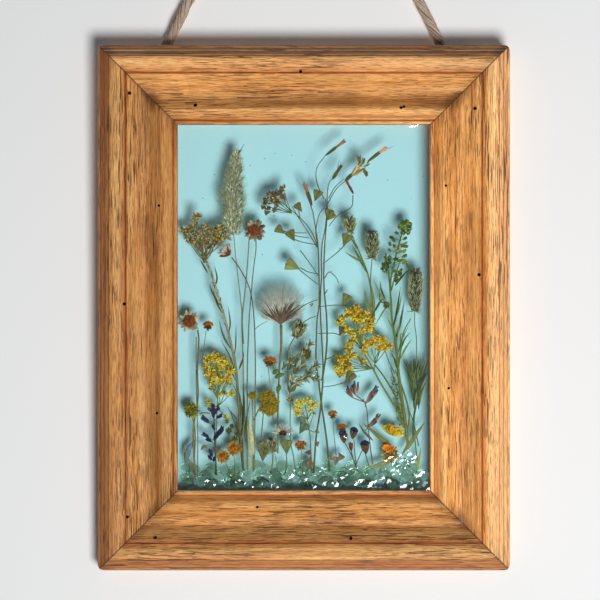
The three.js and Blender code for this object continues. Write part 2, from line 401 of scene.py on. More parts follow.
def carve(solid, cutter):
    """The solid with the cutter's space taken out of it. Both are given as bmesh."""
    meshes = []
    for mould in (solid, cutter):
        mesh = bpy.data.meshes.new("blank")
        mould.to_mesh(mesh)
        mould.free()
        meshes.append(bpy.data.objects.new("blank", mesh))
        bpy.context.scene.collection.objects.link(meshes[-1])
    blank, tool = meshes
    cut = blank.modifiers.new("cut", "BOOLEAN")
    cut.object = tool
    cut.solver = "EXACT"
    cut.use_self = True
    ready = blank.evaluated_get(bpy.context.evaluated_depsgraph_get())
    result = bmesh.new()
    result.from_mesh(ready.to_mesh())
    ready.to_mesh_clear()
    for used in meshes:
        bpy.data.objects.remove(used)
    return result


def finished_piece(mould, name, finish, crease=35):
    """A bmesh as a named piece, smooth but for its creases"""
    for face in mould.faces:
        face.smooth = True
    for edge in mould.edges:
        edge.smooth = edge.calc_face_angle(math.pi) < math.radians(crease)
    mesh = bpy.data.meshes.new(name)
    mould.to_mesh(mesh)
    mould.free()
    return piece_of_frame(name, mesh, finish)


steel, tone, surface = new_finish("dull_steel")
place = tone.node("ShaderNodeTexCoord", give=3)
tarnish = place.grain((1, 1, 1), 400, 4).over(0.45, 0.7)
feed(surface, Metallic=1.0 - tarnish * 0.5, Roughness=tarnish * 0.35 + 0.32,
     Base_Color=tarnish.paint(srgb(176, 176, 174), srgb(110, 98, 86)),
     Normal=place.grain((1, 1, 1), 1500, 2).relief(0.00003))
for side, sign in (("left", -1), ("right", 1)):
    turned = bmesh.new()
    outline = [turned.verts.new((radius * MM, height * MM, 0)) for radius, height in SCREW_PROFILE]
    edges = [turned.edges.new(pair) for pair in zip(outline, outline[1:])]
    bmesh.ops.spin(turned, geom=[*outline, *edges], cent=(0, 0, 0), axis=(0, 1, 0),
                   angle=math.radians(360), steps=28, use_merge=True)
    bmesh.ops.remove_doubles(turned, verts=turned.verts, dist=1e-6)
    bmesh.ops.recalc_face_normals(turned, faces=turned.faces)
    slot_tool = bmesh.new()
    bmesh.ops.create_cube(slot_tool, size=1)
    bmesh.ops.scale(slot_tool, verts=slot_tool.verts, vec=(SLOT_WIDTH, 2 * SLOT_DEPTH, 20 * MM))
    bmesh.ops.translate(slot_tool, verts=slot_tool.verts, vec=(0, SCREW_PROFILE[-1][1] * MM, 0))
    screw = carve(turned, slot_tool)
    bmesh.ops.rotate(screw, verts=screw.verts, cent=(0, 0, 0),
                     matrix=Matrix.Rotation(math.radians(35 + 50 * sign), 3, "Y"))
    bmesh.ops.translate(screw, verts=screw.verts, vec=(sign * SCREW_OUT, 0, -SCREW_DOWN))
    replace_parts(finished_piece(screw, f"slotted_screw_{side}", steel),
                f"cord_screw_{side}")


# ---------------------------------------------------------------- pine rails
# Four lengths of old moulded pine, mitred and glued. The wood is waxed to a honey colour, with
# dark pores, worm holes, patchy grime, thickest in the hollow, and red-brown scribed lines.
# Painted shade darkens the hollow, the faces that look up, the outer slope, the sight edge and
# the insides of the worm holes. Painted light makes the crest paler, and each rail is painted
# lighter or darker as a whole by how the lamp falls on it, the right rail lightest.

SIGHT_WIDTH = 138 * MM
SIGHT_HEIGHT = 200 * MM
FACE_WIDTH = 44
RAIL_WIDTH = FACE_WIDTH * MM
MIDDLE = Vector((0, 0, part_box("resin_panel")[0][2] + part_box("resin_panel")[1][2])) / 2
BACK_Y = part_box("rail_bottom")[1][1]
MITRE_GAP = 0.12 * MM
CORNER_RADIUS = 3.5 * MM
FACE_CURVE = [(2.7, 14.6), (5, 16.8), (8, 17.7), (10, 16.9), (12.5, 14.9), (15, 13.6),
              (17.8, 13), (20, 13.5), (22.5, 15.1), (25.5, 16.9), (29, 18.5), (33, 19.7),
              (35.4, 20), (37.3, 19.5)]
LIP_WIDTH = 2.2
LIP_HEIGHT = 15.2
SLOPE_OUTS = (39, 41.4, 43.5)
EDGE_HEIGHT = 11.6
REBATE = (5, 13)
SCRIBED_LINES = (28.2, 37.6, 40.3, 42.4)
CROSS_CUTS = 110

# Worm holes: how far along from the rail's middle, to the right or up, how far out from the
# sight edge, the radius and the depth
WORM_HOLES = {
    "top": [(-1.8, 28.8, 1.1, 3.5), (-59.3, 10.7, 1.25, 4), (53, 9.3, 1.1, 2.5),
            (54.6, 9.9, 1, 2)],
    "right": [(108.9, 24.4, 1.2, 3), (66.7, 8.5, 0.9, 3), (18, 26.6, 1.1, 3.5),
              (-43.9, 10.1, 0.9, 3)],
    "left": [(117.2, 26.1, 1.2, 2.5), (55.8, 10.2, 0.9, 3), (2.1, 28.9, 1.1, 3.5),
             (-57.6, 11.3, 0.9, 3), (-114.1, 27.2, 1.05, 3.5)],
    "bottom": [(-81.3, 25.2, 1.3, 1.6), (-25.4, 8.8, 0.9, 3), (25.6, 25.8, 1.1, 3.5)],
}
face_line = smooth_line([np.array((out, height, 0)) for out, height in FACE_CURVE], 60)
face_outs = np.concatenate([[0, 1.1, 1.9, LIP_WIDTH], face_line[:, 0], SLOPE_OUTS, [FACE_WIDTH]])
crest_out, crest = FACE_CURVE[-1]
slope = (crest - EDGE_HEIGHT) / (FACE_WIDTH - crest_out)
face_heights = np.concatenate([
    [LIP_HEIGHT - 0.25, LIP_HEIGHT, LIP_HEIGHT - 0.1, LIP_HEIGHT - 0.35], face_line[:, 1],
    [crest - slope * (out - crest_out) for out in SLOPE_OUTS], [EDGE_HEIGHT - 0.3]])


def face_height(out):
    """Height of the moulding above its back, in millimetres, with its scribed lines"""
    deepest = max(1 - abs(out - line) / 0.5 for line in SCRIBED_LINES)
    return float(np.interp(out, face_outs, face_heights)) - 0.5 * max(0, deepest)


def moulding_outline():
    """The rail's section, in millimetres out from the sight edge and up from the back"""
    outs = {round(float(out), 3) for out in face_outs}
    for line in SCRIBED_LINES:
        outs = {out for out in outs if abs(out - line) > 0.6}
        outs |= {line - 0.5, line - 0.25, line, line + 0.25, line + 0.5}
    outs |= {37.05, FACE_WIDTH}
    face = [(out, face_height(out)) for out in sorted(outs)]
    return [*face, (FACE_WIDTH, 0), (REBATE[0], 0), REBATE, (0, REBATE[1])]


def rail_mould(sight_length, holes, way, seed):
    """A rail along X, its sight edge on X's axis and its outside towards -Z, back at Y 0"""
    mould = bmesh.new()
    section = [mould.verts.new((out * MM, height * MM, 0)) for out, height in moulding_outline()]
    end = mould.faces.new(section)
    grown = bmesh.ops.extrude_face_region(mould, geom=[end])["geom"]
    far = [part for part in grown if isinstance(part, bmesh.types.BMVert)]
    bmesh.ops.translate(mould, verts=far, vec=(0, 0, 1))
    runs = [edge for edge in mould.edges if abs(edge.verts[0].co.z - edge.verts[1].co.z) > 0.5]
    bmesh.ops.subdivide_edges(mould, edges=runs, cuts=CROSS_CUTS, use_grid_fill=True)
    half_length = sight_length / 2 + RAIL_WIDTH
    corner = half_length - CORNER_RADIUS
    for vertex in mould.verts:
        out, height, share = vertex.co
        reach = sight_length / 2 + out - MITRE_GAP / 2
        along = -math.sin((share - 0.5) * math.pi) * reach
        if height > 11 * MM and out > 0.5 * MM:
            wander = noise.noise((along * 14 + seed, out * 60, 0))
            scrape = noise.noise((along * 45, out * 260, seed))
            height += 0.22 * MM * wander + 0.1 * MM * scrape
        vertex.co = (along, -height, -out)
    bmesh.ops.recalc_face_normals(mould, faces=mould.faces)
    drills = bmesh.new()
    for along, out, radius, depth in holes:
        bore = bmesh.ops.create_cone(drills, cap_ends=True, segments=16, radius1=radius * MM,
                                     radius2=radius * 0.7 * MM, depth=2 * depth * MM)["verts"]
        bmesh.ops.rotate(drills, verts=bore, matrix=Matrix.Rotation(math.radians(-90), 3, "X"))
        bmesh.ops.translate(drills, verts=bore,
                            vec=(way * along * MM, -face_height(out) * MM, -out * MM))
    drilled = carve(mould, drills)
    for vertex in drilled.verts:
        past = Vector((abs(vertex.co.x) - corner, CORNER_RADIUS - RAIL_WIDTH - vertex.co.z))
        if past.x > 0 and past.y > 0 and past.length > CORNER_RADIUS:
            past *= CORNER_RADIUS / past.length
            vertex.co.x = math.copysign(corner + past.x, vertex.co.x)
            vertex.co.z = CORNER_RADIUS - RAIL_WIDTH - past.y
    return drilled


pine, tone, surface = new_finish("waxed_pine")
lie = tone.node("ShaderNodeAttribute", {"attribute_name": "lie"}, give=1)
out = lie.parts()[1] * 1000
honey = srgb(230, 157, 81)
pale = srgb(246, 189, 116)
tan = srgb(186, 106, 46)
umber = srgb(92, 52, 28)
russet = srgb(152, 66, 22)
grime = srgb(126, 76, 36)
# Per vertex: how deep it lies in a worm hole, how far it is from the mitre, and the rail's painted
# light
hole_mitre_and_light = tone.node("ShaderNodeAttribute", {"attribute_name": "hole_mitre_and_light"}, give=1)
sunk, to_mitre, rail_light = hole_mitre_and_light.parts()
swirl = lie.grain((9, 60, 9), 1, 4)
rings = lie.grain((7, 330, 60), 1, 4, 0.65)
fibre = lie.grain((26, 2300, 2300), 1, 4, 0.65)
pore_patches = lie.grain((12, 70, 30), 1, 3).over(0.36, 0.6)
long_pores = lie.grain((75, 1900, 500), 1, 2, 0.35).over(0.58, 0.61) * pore_patches
fine_pores = lie.grain((170, 3300, 1200), 1, 2, 0.4).over(0.54, 0.66)
wood = rings.over(0.3, 0.7).paint(pale, tan)
wood = (swirl.over(0.3, 0.7) * 0.6).paint(wood, honey)
wood = (fibre * 0.9 + 0.57).shade(wood)
cloud = lie.grain((26, 80, 30), 1, 4, 0.6)
upward = tone.node("ShaderNodeNewGeometry", give=1).parts()[2]
# Faces that look down, for painted shade; the hollow's paint below is weaker on them
downward_shade = (1 - upward).over(1.12, 1.5)
in_hollow = out.over(8.5, 12.5) * (1 - out.over(16, 24)) * (1 - downward_shade * 0.8)
stain = cloud.over(0.42, 0.68)
near_mitre = 1 - to_mitre.over(0.0005, 0.009)
# Painted shade: the hollow of the moulding is painted a darker orange
wood = (in_hollow * 0.16).paint(wood, srgb(150, 82, 34))
wood = (in_hollow * 0.45 * stain + 0.3 * stain * (1 - in_hollow)).paint(wood, grime)
wood = (near_mitre * (in_hollow * 0.5 + 0.3) * cloud.over(0.3, 0.55)).paint(wood, umber)
# How little painted light a rail gets: 1 on the left rail, near 0 on the right rail
rail_unlit = 1 - rail_light.over(0.85, 1.35)
# Painted shade: the outer slope is painted darker red-brown on the less lit rails and on faces that
# look down
wood = (out.over(36.8, 38.2) * (rail_unlit * 0.45 + downward_shade * 0.45)).paint(wood, srgb(160, 86, 36))
# Painted light: the crest is painted paler on the better lit rails
wood = (out.over(30.5, 33) * (1 - rail_unlit) * 0.42).paint(wood, srgb(250, 200, 142))
# Painted shade: a darker band on the rising slope around the first scribed line
wood = (out.over(26, 28.4) * (1 - out.over(30, 32)) * 0.3).paint(wood, srgb(172, 102, 48))
scribed = 1 - abs(out - SCRIBED_LINES[0]).over(0.3, 0.8)
for line in SCRIBED_LINES[1:]:
    scribed = scribed + (1 - abs(out - line).over(0.1, 0.5)) * 0.8
quirk = out.over(2.0, 2.3) * (1 - out.over(2.6, 3.2))
wood = (scribed * 0.75).paint(wood, russet)
wood = (quirk * 0.8).paint(wood, russet)
# Painted shade: a thin dark line along the sight edge, where the wood meets the resin
wood = ((1 - out.over(0.1, 0.6)) * 0.65).paint(wood, umber)
# Painted shade: faces that look up are painted darker brown, more so past the hollow and most
# towards the crest and outer edge
ledge_shade = out.over(17, 20) * 0.22 + out.over(30, 37) * 0.28 + 0.2
wood = (upward.over(0.12, 0.5) * ledge_shade).paint(wood, srgb(104, 72, 48))
wood = (fine_pores * 0.4).paint(wood, umber)
wood = (long_pores * 0.85).paint(wood, umber)
crack_patches = lie.grain((9, 40, 9), 1, 1).over(0.5, 0.56)
cracks = lie.grain((20, 800, 300), 1, 2, 0.4).over(0.66, 0.7) * crack_patches
wood = (cracks * 0.85).paint(wood, srgb(70, 44, 30))
dusty_corner = upward.over(0.2, 0.5) * (1 - to_mitre.over(0.0015, 0.008)) * out.over(34, 38)
wood = (dusty_corner * 0.75).paint(wood, srgb(74, 58, 44))
wood = ((1 - to_mitre.over(0.0002, 0.0007)) * 0.75).paint(wood, umber)
# Painted light: each rail's wood is made lighter or darker as a whole, by how the lamp falls on it
wood = rail_light.shade(wood)
# Painted shade: the worm holes are painted near black inside, below their first millimetre or so
wood = sunk.over(0.0006, 0.0016).paint(wood, srgb(46, 28, 16))
feed(surface, Base_Color=wood, Roughness=fibre * 0.25 + 0.42, Specular_IOR_Level=0.3,
     Coat_Weight=0.05, Coat_Roughness=0.35,
     Normal=(fibre * 0.7 - long_pores - fine_pores * 0.4).relief(0.0003))

# Each rail's sight length, the opening across it, its quarter turns, which way its holes are
# counted, and its painted light: how much lighter or darker its whole wood is painted
RAILS = {"bottom": (SIGHT_WIDTH, SIGHT_HEIGHT, 0, 1, 1.03),
         "left": (SIGHT_HEIGHT, SIGHT_WIDTH, 1, -1, 0.85),
         "top": (SIGHT_WIDTH, SIGHT_HEIGHT, 2, -1, 1.12),
         "right": (SIGHT_HEIGHT, SIGHT_WIDTH, 3, 1, 1.3)}
for side, (length, across, turns, way, rail_lighting) in RAILS.items():
    rail = rail_mould(length, WORM_HOLES[side], way, 7.3 * turns + 1)
    lie_layer = rail.verts.layers.float_vector.new("lie")
    hole_mitre_and_light_layer = rail.verts.layers.float_vector.new("hole_mitre_and_light")
    for vertex in rail.verts:
        along, front, down = vertex.co
        vertex[lie_layer] = (along + 0.6 * turns, -down, -front)
        in_hole = face_height(-down / MM) * MM + front if front < -9 * MM else 0
        off_mitre = length / 2 - down - MITRE_GAP / 2 - abs(along)
        vertex[hole_mitre_and_light_layer] = (in_hole, max(0, off_mitre), rail_lighting)
    bmesh.ops.translate(rail, verts=rail.verts, vec=(0, BACK_Y, -across / 2))
    bmesh.ops.rotate(rail, verts=rail.verts, cent=(0, 0, 0),
                     matrix=Matrix.Rotation(turns * math.pi / 2, 3, "Y"))
    bmesh.ops.translate(rail, verts=rail.verts, vec=MIDDLE)
    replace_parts(finished_piece(rail, f"pine_rail_{side}", pine, 50), f"rail_{side}")


# ---------------------------------------------------------------- cast resin panel
# Clear cast resin, faintly blue, poured over the plants with the frame on its face, so that it
# fills the rebate. Its front has slow waves, a meniscus at the wood and lumps over what stands up.

PANEL_BACK = 3
PANEL_FRONT = 13.9
PANEL_RIM = 4.7
PANEL_SHOULDER = 12.7
RESIN_LUMPS = [(125.9, 20.7, 1.2, 0.24), (121.8, 17, 1, 0.18), (127.6, 17.8, 1, 0.16),
               (116.8, 19.4, 1.5, 0.2), (118.6, 17.6, 0.9, 0.12), (115.2, 18.2, 0.8, 0.1),
               (73.8, 64, 0.9, 0.26), (68.8, 72.4, 0.8, 0.24), (75.6, 66.2, 0.8, 0.22),
               (90.2, 30.4, 0.9, 0.26), (91.6, 29.6, 0.7, 0.2), (60.6, 31.5, 0.8, 0.22)]
BAND_WIDTH = 135
lump_pick = random.Random(17)
FRONT_CHIPS = [(4.6 + 8.05 * n + lump_pick.uniform(-1.2, 1.2), 4.6 + lump_pick.uniform(-0.9, 3))
               for n in range(17)]
# Rows of lumps over the chips: how many, their radius, lowest place, the height and crowding of
# the row, and their height as a share of the radius
for count, radii, foot, tall_by, crowding, shares in (
        (34, (0.8, 1.9), 1.5, 8, 1, (0.08, 0.17)), (64, (0.5, 0.95), 1, 12, 1.2, (0.05, 0.16))):
    for n in range(count):
        radius = lump_pick.uniform(*radii)
        along = 1.5 + BAND_WIDTH * (n + lump_pick.random()) / count
        RESIN_LUMPS.append((along, foot + tall_by * lump_pick.random() ** crowding, radius,
                            radius * lump_pick.uniform(*shares)))
MOUND_LUMPS = 30
for _ in range(MOUND_LUMPS):
    radius = lump_pick.uniform(0.4, 0.8)
    RESIN_LUMPS.append((lump_pick.uniform(113, 131), lump_pick.uniform(11, 20), radius,
                        radius * lump_pick.uniform(0.06, 0.18)))


def resin_front(u, v):
    """Depth of the resin's front over the frame's back, u across and v up from the sight's
    lower left corner, all in millimetres"""
    to_wood = max(0, min(u, v, SIGHT_WIDTH / MM - u, SIGHT_HEIGHT / MM - v))
    # The resin crept up the wood, most of all near the top right corner
    creep = 0.16 + 0.5 * math.exp(-((u - 127.5) / 3) ** 2 - ((v - 200) / 6) ** 2)
    depth = PANEL_FRONT + creep * math.exp(-to_wood / 1.1)
    depth += 0.09 * noise.noise((u * 0.05, v * 0.05, 2)) + 0.02 * noise.noise((u * 0.2, v * 0.2, 5))
    for lump_u, lump_v, radius, height in RESIN_LUMPS:
        away = ((u - lump_u) ** 2 / 1.6 + (v - lump_v) ** 2) / radius ** 2
        if away < 2:
            depth += height * math.exp(-away ** 3)
    return depth


panel = bmesh.new()
ROWS = np.concatenate([np.linspace(0, 24, 80), np.linspace(24, 190, 150)[1:],
                       np.linspace(190, 200, 24)[1:]])
bmesh.ops.create_grid(panel, x_segments=276, y_segments=len(ROWS) - 1, size=0.5)
for vertex in panel.verts:
    across, row = vertex.co.x + 0.5, (vertex.co.y + 0.5) * (len(ROWS) - 1)
    up = float(np.interp(row, range(len(ROWS)), ROWS)) * MM
    front = resin_front(across * SIGHT_WIDTH / MM, up / MM)
    vertex.co = ((across - 0.5) * (SIGHT_WIDTH - 0.04 * MM), -front * MM,
                 (up - SIGHT_HEIGHT / 2) * (1 - 0.04 * MM / SIGHT_HEIGHT))
rim = [edge for edge in panel.edges if edge.is_boundary]
wider = ((SIGHT_WIDTH + 2 * PANEL_RIM * MM) / SIGHT_WIDTH,
         (SIGHT_HEIGHT + 2 * PANEL_RIM * MM) / SIGHT_HEIGHT)
for depth, spread in ((PANEL_SHOULDER, (1, 1)), (PANEL_SHOULDER, wider), (PANEL_BACK, (1, 1))):
    grown = bmesh.ops.extrude_edge_only(panel, edges=rim)["geom"]
    rim = [part for part in grown if isinstance(part, bmesh.types.BMEdge)]
    for vertex in {vertex for edge in rim for vertex in edge.verts}:
        vertex.co = (vertex.co.x * spread[0], -depth * MM, vertex.co.z * spread[1])
bmesh.ops.contextual_create(panel, geom=rim)
bmesh.ops.recalc_face_normals(panel, faces=panel.faces)
bmesh.ops.translate(panel, verts=panel.verts, vec=(0, BACK_Y, MIDDLE.z))

resin, tone, surface = new_finish("blue_cast_resin")
feed(surface, Base_Color=(1, 1, 1, 1), Transmission_Weight=1.0, IOR=1.5, Roughness=0.0)
RESIN_TINT = {"Color": (0, 0.9, 1, 1), "Density": 29}


def clear_where(share, shown):
    """What is shown, but clear where share is 1"""
    clear = share.node("ShaderNodeBsdfTransparent")
    return share.node("ShaderNodeMixShader", {}, {0: share, 1: shown, 2: clear})


def let_light_in(finish, tone, surface, inside):
    """Light from lamps and walls goes straight through the finish, and what is inside it takes
    up some of that light"""
    shown = Tone(tone.tree, surface.outputs[0])
    for ray in (1, 2):
        shown = clear_where(tone.node("ShaderNodeLightPath", give=ray), shown)
    feed(finish.node_tree.nodes["Material Output"], Surface=shown, Volume=inside)


let_light_in(resin, tone, surface, tone.node("ShaderNodeVolumeAbsorption", {}, RESIN_TINT))
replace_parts(finished_piece(panel, "blue_resin_panel", resin, 40), "resin_panel")


# ---------------------------------------------------------------- tall grass head
# A soft, dense grass head, dried khaki and cream: overlapping spikelets up a thin stem, each
# with fine awns that blur its edge. It was laid in first, so it lies deep in the resin.


def spot(u, v, deep=9):
    """A place u across and v up from the sight's lower left corner, deep over the back, in
    millimetres"""
    return np.array((u * MM - SIGHT_WIDTH / 2, BACK_Y - deep * MM,
                     MIDDLE.z - SIGHT_HEIGHT / 2 + v * MM))


def spots(places, deep):
    return [spot(*place, deep) for place in places]


def heading(turn, lean=0):
    """A direction, turned clockwise from straight up and leaning out of the picture, in degrees"""
    turn, lean = math.radians(turn), math.radians(lean)
    return np.array((math.sin(turn) * math.cos(lean), -math.sin(lean),
                     math.cos(turn) * math.cos(lean)))


def dried(red, green, blue):
    """The colour of a thing that looks so, 0 to 255, through the blue resin"""
    return np.clip(np.array(srgb(red, green, blue)) / (0.86, 0.95, 0.97), 0, 0.92)


def tinted(pick, colours, spread=0.14):
    """One of the colours, a little darker or lighter"""
    return pick.choice(colours) * pick.uniform(1 - spread, 1 + spread)


bead_mould = bmesh.new()
bmesh.ops.create_icosphere(bead_mould, subdivisions=1, radius=0.5)
bmesh.ops.translate(bead_mould, verts=bead_mould.verts, vec=(0, 0, 0.5))
BEAD = Shape(bead_mould)
STEM = rod(5, 18)
HAIR = rod(3, 2)
BLADE = rod(6, 7)
SCALE = rod(4, 3)
LEAF_SHAPE = (0.25, 0.8, 1, 0.95, 0.75, 0.45, 0.06)
PETAL_SHAPE = (0.35, 0.75, 1, 0.85, 0.3)
SCALE_SHAPE = (0.3, 1, 0.75, 0.05)


def strand(heap, line, widths, dye, tip=None, shape=STEM, thick=None, facing=(0, -1, 0)):
    """A shape laid along a smooth line. widths and thick are half widths in millimetres"""
    line = smooth_line(line, shape.rings + 1)
    widths = np.atleast_1d(widths) * MM
    thick = widths if thick is None else np.atleast_1d(thick) * MM
    heap.put(shape, laid_along(shape, line, widths, thick, facing), dye, tip)


def stem(heap, places, widths, dye, tip, deep):
    """A round stem through places, its half widths from foot to tip"""
    strand(heap, spots(places, deep), widths, dye, tip)


def leaf(heap, places, half_width, dye, tip, deep):
    """A thin leaf through places"""
    outline = np.array(LEAF_SHAPE) * half_width
    strand(heap, spots(places, deep), outline, dye, tip, BLADE, 0.09)


def spike(heap, foot, ahead, length, half_width, dye, tip=None, shape=SCALE, bow=0.0,
          outline=SCALE_SHAPE, thick=0.12, facing=(0, -1, 0)):
    """A small straight or bowed scale, petal or hair from its foot. Lengths in millimetres"""
    end = foot + ahead * length * MM
    side = np.cross(ahead, (0, -1, 0)) * bow * length * MM
    strand(heap, [foot, (foot + end) / 2 + side, end], np.array(outline) * half_width, dye, tip,
           shape, thick, facing)


def bead(heap, middle, size, dye, ahead=(0, 0, 1)):
    """A small lump: size is its width, depth and length in millimetres"""
    ahead = np.array(ahead, float)
    across = np.cross(ahead, (0.03, -1, 0.02))
    across /= np.linalg.norm(across)
    out = np.cross(across, ahead)
    points = BEAD.points - (0, 0, 0.5)
    placed = (points[:, :1] * across * size[0] + points[:, 1:2] * out * size[1]
              + points[:, 2:3] * ahead * size[2]) * MM + middle
    heap.put(BEAD, placed, dye)


herbage = blended(700, "pressed_stem_and_leaf", 0.7, 0.00006)
petal_finish = blended(1100, "pressed_petal", 0.6, 0.00005)
fluff = blended(500, "dry_bristle", 0.8, 0.00003)

pick = random.Random(101)
grass = Heap()
GRASS_STEM = [(35.8, 11), (35.8, 65.8), (35, 88.8), (35, 98.6), (33.6, 110.7), (31.9, 125.5),
              (30.6, 139.7), (29.9, 152), (30.2, 166), (31.6, 180), (31.9, 185.2)]
stem(grass, GRASS_STEM, (0.42, 0.4, 0.34, 0.26, 0.12), dried(136, 122, 84), dried(150, 146, 108), 7)
SPIKELETS = 900
straw_dyes = [dried(216, 200, 156), dried(188, 170, 122), dried(244, 230, 194),
              dried(156, 144, 108), dried(140, 130, 98)]
panicle = smooth_line(spots(GRASS_STEM[6:], 7.4), 200)
for n in range(SPIKELETS):
    share = n / SPIKELETS
    middle = panicle[int(share * (len(panicle) - 1))]
    swell = np.interp(share, (0, 0.15, 0.4, 0.62, 0.82, 1), (3.8, 5.8, 7.8, 5.9, 4.2, 1.4))
    round_stem = pick.uniform(0, 2 * math.pi)
    aside = math.sin(round_stem)
    outwards = abs(math.cos(round_stem)) * 0.7 - 0.2
    reach = pick.uniform(0.2, 0.72) * swell * MM
    foot = middle + np.array((aside * reach, -outwards * reach * 0.55, 0))
    ahead = heading(aside * 44 + pick.uniform(-14, 14), outwards * 28)
    length = pick.uniform(1.5, 2.6)
    dye = tinted(pick, straw_dyes)
    spike(grass, foot, ahead, length, pick.uniform(0.26, 0.44), dye * 0.75, dye * 1.25, thick=0.2)
    for _ in range(3):
        awn = heading(aside * 50 + pick.uniform(-30, 30), outwards * 30)
        spike(grass, foot + ahead * length * 0.6 * MM, awn, pick.uniform(0.3, 0.7) * swell, 0.06,
              dried(176, 176, 142), shape=HAIR, bow=pick.uniform(-0.1, 0.1), outline=(1, 0.8, 0.4),
              thick=0.06)
for turn, length in ((38, 7.4), (52, 5)):
    spike(grass, spot(31.8, 184, 8), heading(turn, 4), length, 0.24, dried(96, 90, 68), shape=HAIR,
          bow=0.05, outline=(1, 0.8, 0.3))
grass.make("tall_grass_head", fluff, "dried_plants")


# ---------------------------------------------------------------- tall brown umbel plant
# A stout dry stem with narrow leaves and a flat-topped head of small olive-brown florets. Stem
# and leaves lean into the dark bunch at the foot of the grass.


def tufted(heap, middle, count, reach, dyes, pick, turn=0, spread=70, half_width=0.42):
    """A floret of short scales that fan out round a direction from a small lump"""
    for _ in range(count):
        ahead = heading(turn + pick.uniform(-spread, spread), pick.uniform(-25, 45))
        dye = tinted(pick, dyes)
        spike(heap, middle, ahead, reach * pick.uniform(0.6, 1.1),
              half_width * pick.uniform(0.7, 1.2), dye * 0.75, dye * 1.1,
              facing=(pick.uniform(-0.5, 0.5), -1, pick.uniform(-0.5, 0.5)))
    bead(heap, middle, (0.8, 0.7, 0.8), tinted(pick, dyes) * 0.8)


pick = random.Random(102)
umbel = Heap()
olive = dried(118, 108, 66)
brown = dried(126, 88, 36)
cream = dried(206, 190, 136)
moss = dried(92, 96, 48)
thick_stem = [(35.8, 11), (34.7, 21.9), (33.4, 44), (31.9, 65.8), (29.8, 76.7), (26.5, 90.4),
              (21, 109.6), (17.2, 121.7), (12.2, 131.5)]
stem(umbel, thick_stem, (0.7, 0.75, 0.8, 0.75, 0.7, 0.6), olive * 0.5, dried(180, 170, 134), 7.6)
FLORET_SPOTS = [
    (3, 142), (5.2, 139.6), (7.4, 143.6), (9.4, 146.5), (9, 141), (11.4, 139.2), (13.5, 143.4),
    (14.6, 138.2), (16.4, 141.8), (18.6, 142.6), (19.6, 138.6), (21.4, 141), (23.4, 144),
    (25.6, 142.2), (23.6, 138.4), (12.4, 134.6), (15.6, 133.8), (8.6, 136.4), (5.6, 136.8),
    (26.4, 138.6), (20.4, 135.8), (10.2, 149), (17.2, 137)]
for u, v in FLORET_SPOTS:
    fork = (14.6 + pick.uniform(-1, 1), 126.5 + pick.uniform(-2, 2))
    deep = pick.uniform(6.6, 9.6)
    stem(umbel, [fork, ((u + fork[0]) / 2 + pick.uniform(-0.6, 0.6), (v + fork[1]) / 2 - 0.6),
                 (u, v)], (0.3, 0.16), olive, brown, deep)
    for _ in range(5):
        middle = spot(u + pick.uniform(-1.7, 1.7), v + pick.uniform(-1.6, 1.6),
                      deep + pick.uniform(-0.9, 0.9))
        tufted(umbel, middle, 11, 2.1, [dried(172, 144, 80), brown, dried(176, 132, 54), cream,
                                        moss, dried(132, 108, 60), dried(196, 176, 116)],
               pick, (u - 14) * 2.5, 90, 0.5)
for place in smooth_line(spots(thick_stem[-4:], 8.1), 40):
    foot = place + np.array((pick.uniform(-0.6, 0.6), -0.3, 0)) * MM
    spike(umbel, foot, heading(-24 + pick.uniform(-30, 30), 10), pick.uniform(1.6, 3), 0.34,
          tinted(pick, [cream, dried(196, 190, 160), dried(132, 112, 72)]))
UMBEL_LEAVES = [
    [(16.3, 119), (14, 123), (11.9, 126.7)], [(20, 111), (21.4, 116), (20, 123)],
    [(23.5, 100), (18.5, 109), (17.3, 113.4)], [(24.5, 96.5), (21, 103), (19, 110.5)],
    [(27.8, 85.7), (28.6, 92), (27.5, 100.8)], [(30.8, 73), (31.6, 80), (31.8, 91)],
    [(29.6, 76.5), (25, 84), (22.5, 93)], [(31.4, 62.6), (29, 72), (23.4, 82.4)],
    [(31.6, 60), (27, 70), (25.2, 76)], [(33.4, 66), (35.6, 72), (36, 75.6)],
    [(33, 38), (28, 44), (26.8, 46)], [(34, 22), (33, 32), (27.2, 45.8)],
    [(34.4, 25), (35.4, 44), (29.6, 59)], [(34.6, 26), (32.4, 34), (32, 40.6)],
    [(34.8, 30), (36.4, 44), (35.5, 62)], [(35, 20), (36, 30), (39.6, 50)],
    [(34.6, 40), (34.2, 50), (31.6, 58.8)]]
for places in UMBEL_LEAVES:
    dye = tinted(pick, [olive, moss * 0.85, brown * 0.9]) * 0.72
    leaf(umbel, places, pick.uniform(0.42, 0.68), dye * 0.8, dye * 1.1, pick.uniform(6.4, 9))
umbel.make("brown_umbel_plant", herbage, "dried_plants")


# ---------------------------------------------------------------- daisies and small round heads
# Dried daisies lie face on with their rays crumpled back. Small heads of orange florets stand in
# a cup of green bracts, each on its own thread of a stem.

DISC_FLORETS = 130
GOLDEN_ANGLE = 137.5
SIDE_FLORETS = 110
SIDE_BRACTS = 34
RIM_FLORETS = 90


